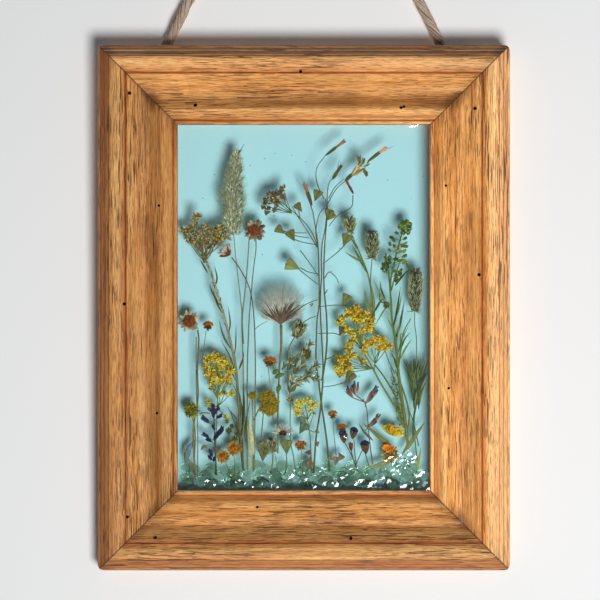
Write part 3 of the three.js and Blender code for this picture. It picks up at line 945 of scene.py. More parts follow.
def face_on_head(heap, u, v, deep, radius, disc, disc_dyes, ray_dyes, rays, pick, crumple):
    """A head pressed face on: a domed disc of florets with rays round it"""
    for n in range(rays):
        turn = 360 * n / rays + pick.uniform(-crumple, crumple) / 2
        dye = tinted(pick, ray_dyes, 0.2)
        length = (radius - disc * 0.6) * pick.uniform(0.6, 1.1)
        foot = spot(u, v, deep) + heading(turn) * disc * 0.6 * MM
        spike(heap, foot, heading(turn + pick.uniform(-12, 12), pick.uniform(-20, 12)), length,
              radius * pick.uniform(0.14, 0.22), dye * 0.75, dye * 1.1, BLADE,
              pick.uniform(-0.1, 0.1), PETAL_SHAPE, 0.1,
              (pick.uniform(-0.4, 0.4), -1, pick.uniform(-0.4, 0.4)))
    bead(heap, spot(u, v, deep), (disc * 2, 1.2, disc * 2), disc_dyes[0] * 0.4)
    for n in range(DISC_FLORETS):
        reach = disc * math.sqrt((n + 0.5) / DISC_FLORETS)
        rise = 1.1 * (1 - (reach / disc) ** 2)
        middle = spot(u, v, deep + 0.5 + rise) + heading(n * GOLDEN_ANGLE) * reach * MM
        bead(heap, middle, (disc * 0.26, 0.9, disc * 0.26), tinted(pick, disc_dyes, 0.45))


def side_on_head(heap, u, v, deep, radius, floret_dyes, bract_dyes, pick, turn=0):
    """A small head pressed side on: a dome of florets over a cup of pointed bracts"""
    up = heading(turn)
    for _ in range(SIDE_FLORETS):
        ahead = heading(turn + pick.uniform(-96, 96), pick.uniform(-10, 70))
        reach = radius * pick.uniform(0.4, 0.75)
        foot = spot(u, v, deep) + ahead * np.array((1.1, 1, 0.75)) * reach * MM
        dye = tinted(pick, floret_dyes, 0.2)
        spike(heap, foot, ahead, radius * 0.36, radius * 0.12, dye * 0.45, dye * 1.1, thick=0.25)
    for _ in range(SIDE_BRACTS):
        ahead = heading(turn + 180 + pick.uniform(-88, 88), pick.uniform(-20, 60))
        foot = spot(u, v, deep) - up * radius * 0.1 * MM
        dye = tinted(pick, bract_dyes, 0.2)
        spike(heap, foot, ahead, radius * pick.uniform(0.7, 1.15), radius * 0.12, dye * 0.7, dye)
    bead(heap, spot(u, v, deep), (radius * 1.2, radius * 0.9, radius * 1.2), bract_dyes[0] * 0.5)


pick = random.Random(103)
orange = dried(226, 128, 24)
rust = dried(150, 72, 26)
maroon = dried(112, 50, 30)
straw_ray = dried(206, 182, 138)
grey_ray = dried(140, 122, 100)
bract_green = dried(110, 104, 60)
bract_brown = dried(104, 78, 48)
thread = dried(122, 116, 80)
heads = Heap()
face_on_head(heads, 41.8, 142.5, 8.4, 6.8, 3, [rust * 0.8, dried(146, 74, 32), dried(104, 56, 28)],
             [grey_ray, dried(126, 92, 66), dried(166, 148, 120), dried(112, 82, 60)], 30, pick, 34)
face_on_head(heads, 6.2, 92.6, 8.2, 6.2, 3.3, [dried(138, 80, 44), rust * 0.8, dried(112, 62, 34)],
             [straw_ray, dried(176, 152, 116), grey_ray, dried(150, 116, 84)], 30, pick, 34)
stem(heads, [(38, 11), (38, 65.8), (38.4, 78.9), (39.1, 95.9), (40.2, 108.5), (41.3, 120.6),
             (43.2, 135.4), (42.8, 138.6)], (0.4, 0.4, 0.3), thread, thread * 1.1, 7)
stem(heads, [(35.9, 80), (35.2, 93.7), (36.7, 108.5), (38, 122.8), (39.1, 139.7)], (0.4, 0.3),
     thread, thread * 1.1, 8)
stem(heads, [(9.5, 5.5), (8.4, 32.9), (10.9, 49.3), (10.6, 65.8), (11.4, 82.2), (10.8, 87.8)],
     (0.55, 0.5, 0.42), dried(136, 118, 78), dried(116, 88, 60), 8)
stem(heads, [(10.6, 7), (10.8, 30), (9.9, 60), (10, 84)], (0.32, 0.26), thread, thread, 7)
stem(heads, [(12.8, 68.5), (14.1, 78), (15.4, 87.4)], (0.24, 0.2), thread, thread * 1.1, 8.2)
side_on_head(heads, 16.6, 90.3, 8.4, 2.9, [dried(222, 128, 36), dried(200, 108, 30)],
             [bract_brown, dried(82, 52, 34)], pick)
tuft_base = spot(28.4, 129, 8.6)
stem(heads, [(41.8, 11), (42.4, 65.8), (42, 87.7), (41.3, 98.6), (39.9, 108.5), (36.9, 116.2),
             (33, 122.8), (29.4, 127.6)], (0.4, 0.38, 0.36, 0.3), thread, dried(132, 74, 50), 8.2)
TUFT_TURN = -44
TUFT_BRACTS = 44
TUFT_HAIRS = 110
for _ in range(TUFT_BRACTS):
    ahead = heading(TUFT_TURN + pick.uniform(-62, 44), pick.uniform(-20, 30))
    spike(heads, tuft_base, ahead, pick.uniform(3.8, 6.4), 0.75, maroon,
          dried(150, 80, 44) * pick.uniform(0.8, 1.1), thick=0.3)
for _ in range(TUFT_HAIRS):
    ahead = heading(TUFT_TURN + pick.uniform(-44, 50), pick.uniform(-10, 40))
    spike(heads, tuft_base + ahead * pick.uniform(2.8, 4.4) * MM, ahead, pick.uniform(1.8, 3.4),
          0.28, dried(196, 178, 152), dried(240, 232, 214), HAIR, outline=(1, 1, 0.5), thick=0.16)
SMALL_HEADS = [(50.3, 70.6, 8.8, 3.7, 4), (85, 41.7, 9.2, 2.7, 0), (67.4, 24.6, 9.4, 3.3, -6),
               (90, 34.2, 8.2, 2.8, 10)]
amber = dried(206, 132, 40)
for u, v, deep, radius, turn in SMALL_HEADS:
    side_on_head(heads, u, v, deep, radius, [dried(222, 128, 36), amber, dried(190, 104, 34)],
                 [bract_green, bract_brown, dried(160, 132, 66)], pick, turn)
for u, v, radius in ((24.8, 18.4, 3.3), (30.6, 22.8, 3.6)):
    face_on_head(heads, u, v, 9.2, radius, radius * 0.5,
                 [dried(104, 56, 26), dried(168, 92, 28), dried(214, 126, 30)],
                 [amber, dried(190, 164, 70), dried(160, 140, 60)], 26, pick, 30)
    for _ in range(RIM_FLORETS):
        turn = pick.uniform(0, 360)
        foot = spot(u, v, 9.8) + heading(turn) * radius * pick.uniform(0.5, 0.75) * MM
        spike(heads, foot, heading(turn, pick.uniform(0, 40)), radius * 0.6, 0.22,
              dried(140, 92, 32), tinted(pick, [amber, dried(216, 184, 70), dried(186, 170, 80)]))
for places in ([(52.2, 38.4), (50.2, 60), (49.3, 69)], [(29.4, 6), (27.6, 11.6), (25.6, 15.8)],
               [(30.8, 7), (31, 14), (30.7, 20.4)], [(86.8, 18), (85.6, 30), (85, 39.4)],
               [(68.6, 8), (68, 18), (67.5, 22.6)]):
    stem(heads, places, (0.26, 0.2), thread, thread * 1.15, 8.4)
heads.make("small_round_heads", petal_finish, "dried_plants")


# ---------------------------------------------------------------- yellow blossom clusters
# Bunches of tiny four-petalled yellow flowers on branching green stalks, pressed so that some lie
# face on and some edge on.


def blossom(heap, middle, size, dyes, pick):
    """A tiny flower: four or five rounded petals and a dark heart, tipped at random"""
    tilt = np.array((pick.uniform(-0.9, 0.9), -1, pick.uniform(-0.9, 0.9)))
    side = np.cross(tilt, (0, 0, 1))
    side /= np.linalg.norm(side)
    up = np.cross(side, tilt)
    up /= np.linalg.norm(up)
    start = pick.uniform(0, 90)
    count = pick.choice((4, 5))
    for n in range(count):
        turn = math.radians(start + 360 * n / count)
        ahead = side * math.sin(turn) + up * math.cos(turn) - tilt * 0.25
        dye = tinted(pick, dyes)
        spike(heap, middle, ahead / np.linalg.norm(ahead), size * pick.uniform(0.85, 1.1),
              size * 0.36, dye * 0.8, dye * 1.08, SCALE, outline=(0.35, 1, 1.05, 0.45), thick=0.1,
              facing=tilt)
    bead(heap, middle, (size * 0.5, size * 0.5, size * 0.5), dried(150, 128, 40))


def cluster(heap, patches, dyes, green, root, pick, size=1.6):
    """Blossoms scattered over round patches, (u, v, radius, how many), each on a stalk to root"""
    for u, v, radius, count in patches:
        deep = pick.uniform(8.4, 9.6)
        stem(heap, [root, ((u + root[0]) / 2 + pick.uniform(-0.5, 0.5), (v + root[1]) / 2 - 0.5),
                    (u, v)], (0.28, 0.18), green, green * 1.1, deep - 1.2)
        for _ in range(count):
            away, turn = radius * math.sqrt(pick.random()), pick.uniform(0, 360)
            middle = spot(u, v, deep + pick.uniform(-1, 1.6)) + heading(turn) * away * MM
            strand(heap, [spot(u, v, deep - 1), middle], (0.1, 0.08), green, shape=HAIR)
            blossom(heap, middle, size * pick.uniform(0.8, 1.15), dyes, pick)


pick = random.Random(104)
yellow = dried(238, 194, 42)
gold = dried(212, 156, 28)
lemon = dried(246, 218, 104)
ochre = dried(150, 118, 44)
stalk_green = dried(110, 116, 62)
yellows = Heap()
cluster(yellows, [(17, 71.4, 2.6, 18), (21.4, 72.8, 2.6, 16), (25.4, 69.6, 2.6, 16),
                  (28.6, 65.6, 2.5, 16), (15.4, 65.4, 2.4, 14), (19, 62.2, 2.4, 14),
                  (23.4, 60.6, 2.2, 12), (18, 57.4, 1.8, 9), (28, 59.8, 1.9, 10),
                  (21.6, 66.8, 2.6, 12)],
        [yellow, gold, lemon, ochre], stalk_green, (21.6, 50), pick)
cluster(yellows, [(17.2, 48.6, 1.5, 5), (29.6, 53.4, 1.3, 5), (25.6, 53.4, 1.1, 3),
                  (22.8, 52.4, 0.8, 2), (26.8, 39.8, 0.8, 2)],
        [yellow, dried(196, 178, 60)], stalk_green, (21.5, 45.5), pick)
stem(yellows, [(20.6, 8), (20.8, 30), (21.5, 45.5), (22, 58)], (0.4, 0.36, 0.28), stalk_green,
     dried(130, 116, 60), 7.2)
cluster(yellows, [(90, 93, 2.6, 15), (94.2, 97.4, 3, 20), (98.6, 99, 2.8, 18),
                  (102, 96.2, 2.8, 18), (105, 92.4, 2.6, 15), (98, 93.6, 2.6, 12),
                  (92.2, 88.2, 2.2, 12), (96.4, 86.6, 2.2, 11), (100.6, 88.4, 2.3, 12),
                  (105.4, 88.4, 1.8, 9), (95.4, 81.6, 2.1, 11)],
        [gold, yellow, lemon, ochre, dried(220, 170, 24)], stalk_green, (100.8, 77), pick)
cluster(yellows, [(104.6, 81.4, 2.2, 13), (108.6, 82.2, 2.3, 13), (112.6, 81.8, 2.3, 13),
                  (115, 78.6, 2, 11), (102.8, 77, 1.8, 8), (110.8, 78.4, 1.7, 7)],
        [yellow, lemon, gold, dried(214, 150, 20)], stalk_green, (108.2, 69.4), pick)
cluster(yellows, [(88.6, 71.6, 2.2, 13), (92.2, 72.4, 2.2, 13), (87.4, 67.6, 2.2, 13),
                  (91.6, 67.4, 2.4, 14), (89, 64.6, 1.9, 9), (95, 67.4, 1.6, 7),
                  (97.2, 74, 1.3, 5), (101.2, 70.2, 1.5, 6), (94, 77.4, 2, 7)],
        [gold, yellow, ochre, lemon], stalk_green, (106.5, 66.5), pick)
stem(yellows, [(124.4, 36), (120.8, 43), (116.3, 50), (110.6, 59.6), (107, 66.4), (101, 77.4),
               (98.6, 87), (97.6, 93)], (0.62, 0.55, 0.5, 0.36, 0.26), dried(120, 124, 56),
     dried(140, 124, 60), 7.4)
for places, foot_width in (([(107, 66.6), (101.8, 67.2), (95.6, 67.8)], 0.3),
                           ([(107.6, 65.4), (108.2, 71.6), (110.4, 77)], 0.3),
                           ([(119, 63.6), (115.4, 71), (113.2, 77.6)], 0.34)):
    stem(yellows, places, (foot_width, 0.22), stalk_green, stalk_green, 8)
cluster(yellows, [(66.2, 47.4, 2.2, 10), (69, 49.2, 1.8, 8), (65.6, 43.2, 2.1, 10),
                  (71.6, 49, 1.1, 4), (74.8, 47.2, 1.7, 8), (72.8, 44.8, 1.3, 5)],
        [lemon, yellow, dried(226, 206, 110)], stalk_green, (71, 38.5), pick)
stem(yellows, [(73.2, 8), (72.8, 22), (72.2, 32), (70.6, 40)], (0.4, 0.34, 0.26), stalk_green,
     stalk_green, 8)
cluster(yellows, [(68.8, 38.4, 1.3, 5), (74.6, 42, 1, 3), (67.4, 34.4, 0.9, 3),
                  (76.4, 31.6, 0.9, 3)], [dried(150, 150, 70), stalk_green], stalk_green,
        (71.6, 33), pick, 0.9)
for u, v, reach, turn in ((116.8, 30.4, 6.8, -20), (117.6, 30, 5, 6), (118, 30.2, 6.6, 62),
                          (117.6, 30, 5.4, 40)):
    for n in range(9):
        dye = tinted(pick, [dried(226, 190, 52), gold, dried(236, 208, 96), ochre], 0.16)
        spike(yellows, spot(u, v, 8 + 0.2 * n), heading(turn + (n - 4) * 7, 3 * n),
              reach * pick.uniform(0.7, 1), 1.5, dye * 0.8, dye, BLADE, pick.uniform(-0.1, 0.1),
              (0.3, 0.7, 1, 0.95, 0.7), 0.2,
              (pick.uniform(-0.5, 0.5), -1, pick.uniform(-0.5, 0.5)))
yellows.make("yellow_blossoms", petal_finish, "dried_plants")


# ---------------------------------------------------------------- yellow buttons and green heads
# Round button flowers of dense olive-yellow florets, and one ball of green stalked florets.


def button(heap, u, v, deep, radius, dyes, pick, squash=1.0, count=120):
    """A dense round head of short florets"""
    for _ in range(count):
        ahead = heading(pick.uniform(0, 360), pick.uniform(-10, 85))
        foot = spot(u, v, deep) + ahead * np.array((1, 0.55, squash)) * radius * 0.55 * MM
        dye = tinted(pick, dyes, 0.22)
        spike(heap, foot, ahead, radius * 0.42, 0.34, dye * 0.65, dye * 1.1, thick=0.26)
    bead(heap, spot(u, v, deep), (radius * 1.4, radius, radius * 1.4 * squash), dyes[0] * 0.5)


pick = random.Random(105)
buttons = Heap()
olive_yellow = dried(166, 146, 44)
dull_green = dried(124, 122, 60)
button(buttons, 7.3, 43.8, 8.6, 5, [dull_green, olive_yellow, dried(190, 170, 40), moss], pick)
button(buttons, 40.8, 52, 9, 2.9, [olive_yellow, dried(140, 124, 40)], pick, 0.9, 90)
for u, v, radius in ((46.8, 51.2, 3), (50.2, 52, 3.6), (50, 46.8, 4.6), (47.4, 45, 3.6),
                     (53, 48.6, 3.2), (50.4, 42.8, 3.1), (52.6, 44.8, 3)):
    button(buttons, u, v, 9, radius, [olive_yellow, dried(190, 156, 40), dried(138, 124, 48)], pick,
           1.0, 110)
for places in ([(8.6, 9), (9.4, 30), (7.8, 40.6)], [(41.2, 10), (41.2, 30), (40.9, 49.6)],
               [(41.4, 38), (44, 43.6), (47.6, 49)], [(45.2, 24), (46, 33), (46.8, 42)],
               [(12, 41.6), (14.6, 42.4), (17.4, 42)]):
    stem(buttons, places, (0.42, 0.32), dried(130, 112, 66), dried(122, 112, 60), 8)
for u, v, spread in ((28, 32.6, 2.4), (31, 28, 2.2), (33, 31, 2.4), (29.6, 35, 1.6),
                     (26.8, 37.6, 1.4)):
    button(buttons, u, v, 8, spread, [moss, dried(136, 124, 44), dried(96, 90, 42)], pick, 0.9, 34)
buttons.make("yellow_buttons", petal_finish, "dried_plants")


# ---------------------------------------------------------------- purple flower spikes
# Dark violet-blue blossoms up a thin dark stem, three blue-black buds that reach the front of the
# resin, and vetch with narrow rust and plum coloured buds.

pick = random.Random(106)
purples = Heap()
violet = dried(60, 50, 84)
ink = dried(42, 40, 58)
plum = dried(84, 62, 70)
stem(purples, [(21.2, 8), (20.6, 18), (20, 30), (19.6, 42), (19.4, 47)], (0.45, 0.4, 0.3, 0.2),
     dried(104, 92, 66), ink * 1.2, 8)
for u, v, turn, size in ((19.4, 45.4, 0, 2.4), (17.6, 44, -50, 1.9), (21.8, 44.4, 50, 1.9),
                         (19.2, 41.6, -10, 2.4), (20.6, 43, 20, 2), (15, 38.4, -52, 2.9),
                         (14.2, 39.4, -40, 2.2), (22.8, 40.4, 58, 2.2), (22.8, 31.8, 35, 2.9),
                         (21, 29.6, 30, 2.8), (24, 33.4, 15, 2), (15, 30, -55, 2.7),
                         (16.8, 27.6, -62, 2.2), (18, 20.6, -15, 2.6), (17.6, 17.8, -30, 2),
                         (19.8, 17, 10, 1.8), (19.6, 34.4, -20, 1.8)):
    foot = spot(u, v, pick.uniform(8.4, 9.6)) - heading(turn) * size * 0.9 * MM
    stem(purples, [(20, v - size * 1.1), (u - math.sin(math.radians(turn)) * size * 0.9,
                                          v - math.cos(math.radians(turn)) * size * 0.9)],
         (0.16, 0.16), ink, ink, 8.4)
    for n in range(5):
        dye = tinted(pick, [violet, ink, plum, ink], 0.2)
        spike(purples, foot, heading(turn + (n - 2) * 6, pick.uniform(-10, 30)),
              size * pick.uniform(1.5, 1.9), size * 0.3, dye * 0.6, dye * 1.1, BLADE,
              pick.uniform(-0.06, 0.06), (0.3, 0.8, 1, 0.95, 0.8, 0.6, 0.25), 0.3)
for u, v, turn, size in ((90.4, 30.2, -8, 4.4), (96.3, 32, 10, 4), (102.4, 24.4, -8, 4.6)):
    foot = spot(u, v, 9.2) - heading(turn) * size * MM
    for n in range(12):
        dye = [dried(104, 74, 50), dried(86, 72, 60)][n % 2]
        spike(purples, foot, heading(turn + pick.uniform(-26, 26), pick.uniform(-15, 40)),
              size * 1.25, size * 0.2, dye * 0.7, dye, BLADE, 0, (0.3, 0.8, 1, 0.9, 0.4), 0.3)
    for _ in range(14):
        ahead = heading(turn + pick.uniform(-70, 70), pick.uniform(0, 60))
        dye = tinted(pick, [dried(44, 42, 70), ink, dried(66, 62, 102)], 0.25)
        spike(purples, foot + heading(turn) * size * 1.05 * MM, ahead, size * 0.62, size * 0.24,
              dye, dye * 1.2, BLADE, 0, (0.4, 0.9, 1, 0.9, 0.6), 0.3)
for places in ([(98.2, 11), (95.4, 18.6), (91.4, 26.2)], [(97.8, 12), (97, 20), (96.4, 28)],
               [(97.6, 14), (99.6, 18.6), (101.2, 22.2)],
               [(104.6, 13.6), (103.6, 17), (102.6, 20.4)], [(97.4, 13), (96, 17.4), (95, 21.4)]):
    stem(purples, places, (0.3, 0.24), dried(96, 78, 52), dried(102, 92, 62), 8.4)
for _ in range(8):
    spike(purples, spot(95, 21.4, 8.8), heading(pick.uniform(-16, 16), pick.uniform(-10, 30)), 5,
          0.7, maroon * 0.8, dried(124, 70, 44), BLADE, 0, (0.4, 0.9, 1, 0.8, 0.2), 0.3)
VETCH = [(93.4, 54, -36, 5.4), (96, 55.6, -20, 4.6), (98, 56.4, 4, 5.6), (108, 54.2, 22, 5),
         (106, 51.4, 38, 6), (108.6, 56, 30, 3.6), (109.4, 40, 30, 4.4), (107.4, 37.4, 44, 5)]
stem(purples, [(106.8, 14), (104.9, 28), (104, 40), (103.2, 46), (101.4, 50)], (0.36, 0.3, 0.24),
     dried(118, 96, 62), dried(120, 82, 68), 8)
for u, v, turn, size in VETCH:
    foot = spot(u, v, pick.uniform(8.6, 9.4)) - heading(turn) * size * 0.8 * MM
    place = (foot[0] + SIGHT_WIDTH / 2) / MM, (foot[2] - MIDDLE.z + SIGHT_HEIGHT / 2) / MM
    stem(purples, [(102.6, min(place[1] - 2, 48)), place], (0.26, 0.3), dried(126, 92, 74),
         dried(110, 84, 80), 8.6)
    for _ in range(6):
        dye = tinted(pick, [dried(158, 128, 98), dried(122, 94, 84), dried(196, 170, 130)], 0.2)
        tip = tinted(pick, [plum, violet, dried(112, 66, 62)], 0.2)
        spike(purples, foot, heading(turn + pick.uniform(-14, 14), pick.uniform(-12, 30)),
              size * pick.uniform(1, 1.4), size * 0.12, dye, tip, BLADE, pick.uniform(-0.08, 0.08),
              (0.4, 0.8, 0.9, 1, 0.6), 0.24)
purples.make("purple_spikes_and_vetch", petal_finish, "dried_plants")


# ---------------------------------------------------------------- seed head of white down
# A seed head pressed as a fan: hundreds of fine grey-white hairs behind a star of long, brown,
# pointed bracts.

pick = random.Random(107)
down = Heap()
DOWN_HAIRS = 1300
SHORT_HAIRS = 560
HEART_SEEDS = 26
DOWN_SPREAD = 74
DOWN_REACH = 24.5
down_foot = spot(56.4, 91.2, 7.6)
for _ in range(DOWN_HAIRS):
    angle = pick.uniform(-DOWN_SPREAD, DOWN_SPREAD)
    reach = DOWN_REACH * math.cos(math.radians(angle)) ** 0.62
    ahead = heading(angle, pick.uniform(-4, 14))
    start = down_foot + ahead * pick.uniform(1, 9) * MM
    length = pick.uniform(0.45, 1) * (reach - np.linalg.norm(start - down_foot) / MM)
    dye = tinted(pick, [dried(224, 216, 202), dried(186, 186, 178), dried(246, 240, 228)], 0.12)
    spike(down, start, ahead, length, 0.065, dye, dye * 0.95, HAIR, pick.uniform(-0.06, 0.06),
          (1, 0.9, 0.5), 0.065)
for _ in range(SHORT_HAIRS):
    ahead = heading(pick.gauss(-4, 24), pick.uniform(0, 16))
    dye = tinted(pick, [dried(246, 236, 214), dried(226, 206, 184)], 0.12)
    spike(down, down_foot + ahead * pick.uniform(2, 10) * MM, ahead, pick.uniform(4, 7), 0.11, dye,
          dye, HAIR, pick.uniform(-0.05, 0.05), (1, 1, 0.4), 0.11)
for turn, length in ((-50, 12.6), (-40, 10.5), (-32, 13), (-24, 10.5), (-14, 11), (-6, 8.6),
                     (3, 9.6), (12, 9), (19, 12), (27, 12.4), (34, 13), (45, 15.4), (-58, 13.6),
                     (52, 17), (-44, 9), (40, 9.6), (23, 8), (-36, 15), (31, 15), (-19, 13),
                     (14, 12), (56, 11)):
    dye = tinted(pick, [dried(112, 86, 70), dried(100, 86, 58), dried(122, 90, 84)])
    spike(down, down_foot + np.array((0, -2.2, 0)) * MM, heading(turn, 6), length, 0.42, dye,
          dye * 0.6, BLADE, pick.uniform(-0.04, 0.04), (0.5, 0.8, 0.9, 0.6, 0.1), 0.2)
for _ in range(HEART_SEEDS):
    bead(down, down_foot + heading(pick.uniform(-60, 60), 10) * pick.uniform(0, 1.5) * MM,
         (1.1, 0.8, 1.6), tinted(pick, [dried(150, 124, 94), dried(116, 96, 70)]))
stem(down, [(54.7, 20), (54.7, 38.4), (55.5, 65.8), (56.6, 79.5), (56.5, 90.6)],
     (0.5, 0.5, 0.55, 0.6, 0.85), dried(120, 104, 70), dried(138, 112, 82), 7.4)
stem(down, [(41.6, 87.6), (44.6, 90.2), (49, 92.6)], (0.24, 0.16), thread, thread, 8)
down.make("seed_head_of_down", fluff, "dried_plants")


# ---------------------------------------------------------------- clover heads
# Dense bristly clover heads, grey-green with dark tops, in a collar of narrow bracts.


def bristly(heap, u, v, deep, half_width, length, dyes, top_dyes, turn, count, pick):
    """A cylinder of bristles leaning outwards and up, on a dark core"""
    up = heading(turn)
    across = np.cross(up, (0, -1, 0))
    foot = spot(u, v, deep)
    strand(heap, [foot, foot + up * length * 0.5 * MM, foot + up * length * MM],
           np.array((0.5, 0.8, 0.8, 0.6, 0.2)) * half_width, dyes[-1] * 0.5, top_dyes[0] * 0.6,
           BLADE, 1.3)
    for _ in range(count):
        share = pick.random()
        around = pick.uniform(0, 2 * math.pi)
        swell = math.sqrt(max(0.05, 1 - (2 * share - 1) ** 4)) * half_width
        place = (foot + up * share * length * MM + across * math.sin(around) * swell * 0.68 * MM
                 + np.array((0, -1, 0)) * math.cos(around) * 1.7 * MM)
        ahead = (up * pick.uniform(0.55, 1.2) + across * math.sin(around) * 0.75
                 + np.array((0, -1, 0)) * math.cos(around) * 0.45)
        ahead /= np.linalg.norm(ahead)
        on_top = share > 0.88 + pick.uniform(-0.1, 0.1)
        dye = tinted(pick, top_dyes if on_top else dyes, 0.3)
        spike(heap, place, ahead, pick.uniform(1.1, 1.9), 0.15, dye * 0.5, dye * 1.25, SCALE,
              thick=0.12)
        spike(heap, place, ahead, pick.uniform(1.8, 2.8), 0.075, dye, dye if on_top else dye * 1.9,
              HAIR, outline=(1, 0.8, 0.4), thick=0.075)
    for _ in range(14):
        aside = pick.uniform(-1, 1)
        ahead = heading(turn + aside * 118, pick.uniform(-10, 40))
        spike(heap, foot, ahead, half_width * pick.uniform(0.7, 1.2), 0.3, dull_green * 0.8,
              dried(176, 172, 122), SCALE, 0.12 * aside)


pick = random.Random(108)
clovers = Heap()
sage = dried(150, 150, 108)
pale_sage = dried(206, 202, 156)
shade_sage = dried(104, 106, 74)
dusk = dried(64, 60, 54)
# Each head's foot and its depth, half width, length, the dyes of its bristles and of its top, its
# turn and how many bristles it has
CLOVERS = [
    (129.8, 98.4, 8.2, 4.3, 22.4, [sage, pale_sage, shade_sage], [dusk, shade_sage], 2, 900),
    (106.4, 127.4, 8.2, 4.3, 14.2, [sage, pale_sage, shade_sage], [dusk, dusk * 1.3], 0, 620),
    (94.4, 141.8, 8.2, 3.8, 7.4, [sage, pale_sage, dull_green], [dusk, shade_sage], -4, 330),
    (64.2, 84.2, 8.6, 3.9, 8.2, [pale_sage, dried(146, 142, 84), shade_sage],
     [dusk * 1.2, brown], 28, 360),
    (71, 72, 8.6, 2.2, 5, [dull_green, shade_sage, brown], [dusk, brown], -6, 120),
    (52.2, 21, 9, 2.9, 7.4, [pale_sage, shade_sage, sage], [dusk * 1.3, maroon], -8, 220),
    (47, 19, 8, 2.4, 5.4, [dull_green, olive_yellow, shade_sage], [sage], 12, 110)]
for head in CLOVERS:
    bristly(clovers, *head, pick)
stem(clovers, [(130.6, 56), (130.8, 82.2), (129.9, 90), (129.8, 98.4)], (0.34, 0.3), stalk_green,
     dried(134, 138, 96), 8)
stem(clovers, [(105.9, 104.1), (105.6, 115.1), (106.4, 127)], (0.32, 0.28), stalk_green,
     stalk_green, 8)
stem(clovers, [(107, 98.6), (105.9, 109.6), (104.3, 117.8), (100.4, 128.2), (96.6, 137),
               (94.6, 141.6)], (0.5, 0.45, 0.4, 0.3), stalk_green, dried(124, 132, 84), 7.6)
stem(clovers, [(60.4, 52), (60.2, 66), (60.4, 75.6), (61.6, 79.6), (64, 84)], (0.42, 0.34),
     dried(118, 98, 62), dried(118, 120, 74), 8)
stem(clovers, [(51, 9), (51.8, 15), (52.1, 21)], (0.42, 0.36), dried(128, 118, 74), thread, 8.4)
stem(clovers, [(54.6, 10), (54, 15), (53, 20.4)], (0.24, 0.2), thread, thread, 8.4)
CLOVER_LEAVES = [
    [(104.4, 118.4), (99.6, 127), (95.4, 134.6)], [(102.2, 124.6), (96.6, 127.4), (91.5, 130.4)],
    [(105.9, 97), (103.4, 104), (102.4, 111)], [(106.6, 92.4), (107.4, 103), (105.7, 113.6)],
    [(107.8, 97.6), (110, 101.8), (113, 106)], [(107, 90), (105.6, 100), (106.4, 110)],
    [(99, 131.6), (96.2, 136.4), (94.6, 138.2)], [(107.8, 98), (106.6, 92), (105.9, 86)]]
for places in CLOVER_LEAVES:
    dye = tinted(pick, [dried(100, 108, 62), moss, dried(126, 130, 78)])
    leaf(clovers, places, pick.uniform(0.7, 1.05), dye * 0.8, dye * 1.1, pick.uniform(7.4, 9))
clovers.make("clover_heads", fluff, "dried_plants")


# ---------------------------------------------------------------- tall buds and seed pods
# A tall, wiry plant: three long stems, hair-thin side stalks with flat, heart-shaped pods, and
# curved stalks that end in narrow orange-pink buds and one open pale flower.

pick = random.Random(109)
tall = Heap()
wiry = dried(98, 96, 56)
wiry_brown = dried(104, 88, 54)
pod_olive = dried(112, 104, 58)
pod_brown = dried(108, 88, 54)
LONG_STEMS = [
    [(83.2, 10), (81.3, 29.6), (78.7, 46.6), (76.9, 61.4), (75.8, 65.8), (75.6, 74), (76.3, 93.7),
     (77.4, 100.8), (77.4, 112.9), (76.9, 132.6), (75.6, 142.5), (74.6, 150), (71.6, 160)],
    [(74.4, 9), (75.8, 29.6), (77.8, 41.6), (79.2, 56.4), (79.6, 65.8), (79.1, 78.9), (78, 98.6),
     (78.3, 111.2), (79.1, 122.8), (78.3, 130.4), (80.8, 144), (81.6, 152), (81, 160)],
    [(79, 60), (80.9, 72), (81.8, 83.8), (81.3, 98.6), (80.2, 108.5), (80, 122.8), (80.7, 137.5),
     (81.8, 150), (82, 158)]]
for places in LONG_STEMS:
    stem(tall, places, (0.55, 0.5, 0.42, 0.36, 0.26), wiry, wiry_brown, 8)
THIN_STEMS = [
    [(80.2, 159.5), (76.3, 168.2), (76.1, 176.5), (81.3, 184.1)],
    [(81.8, 158), (82, 164), (82.9, 168.6), (85.1, 171.5)],
    [(82, 157), (86.7, 164.9), (92.2, 169.9)], [(82.6, 160), (86, 166), (91, 170.6)],
    [(96, 161.7), (95, 155.1), (87.8, 150.7), (82.7, 144.7)],
    [(76.9, 132.6), (73, 142), (67, 149.2), (58.8, 156.2), (53.5, 160.5)],
    [(76.6, 134), (75.6, 142), (77.4, 151), (80.4, 155)],
    [(77, 132), (71, 142), (67, 148), (62.4, 155.6)],
    [(52.6, 154.6), (58, 153), (62.6, 151.6)], [(66.2, 154), (66.6, 150), (66.8, 149)],
    [(55, 142.4), (62, 141.2), (71, 141)], [(62, 138.2), (68, 136), (76.6, 134.4)],
    [(57.6, 142.2), (64, 139.6), (72, 138.2)], [(66.4, 121), (70, 118), (76.8, 112.6)],
    [(67, 122), (71.6, 119.6), (77.6, 118.4)], [(91.6, 134.4), (87, 130), (79.4, 124)],
    [(80.4, 116.2), (83, 119.6), (86.8, 116.4), (88, 113.4)],
    [(92.4, 101), (86, 101.4), (78, 100.6)],
    [(89, 84.8), (85, 86), (76.6, 85.8)], [(80.3, 107), (82, 110), (81.2, 108.2)],
    [(64.6, 98), (70, 101.8), (76.4, 104.4)], [(66, 88.8), (71, 93.4), (76.4, 95.6)],
    [(93, 59.6), (86, 57.4), (79.2, 56.4)], [(67, 131.4), (72.6, 124), (77.2, 117)],
    [(72.6, 100.6), (74, 102.2), (72, 101.6)], [(80.4, 71.4), (86, 73.4), (90.4, 73)]]
for places in THIN_STEMS:
    stem(tall, places, (0.3, 0.2), wiry, wiry_brown, pick.uniform(7.6, 8.8))


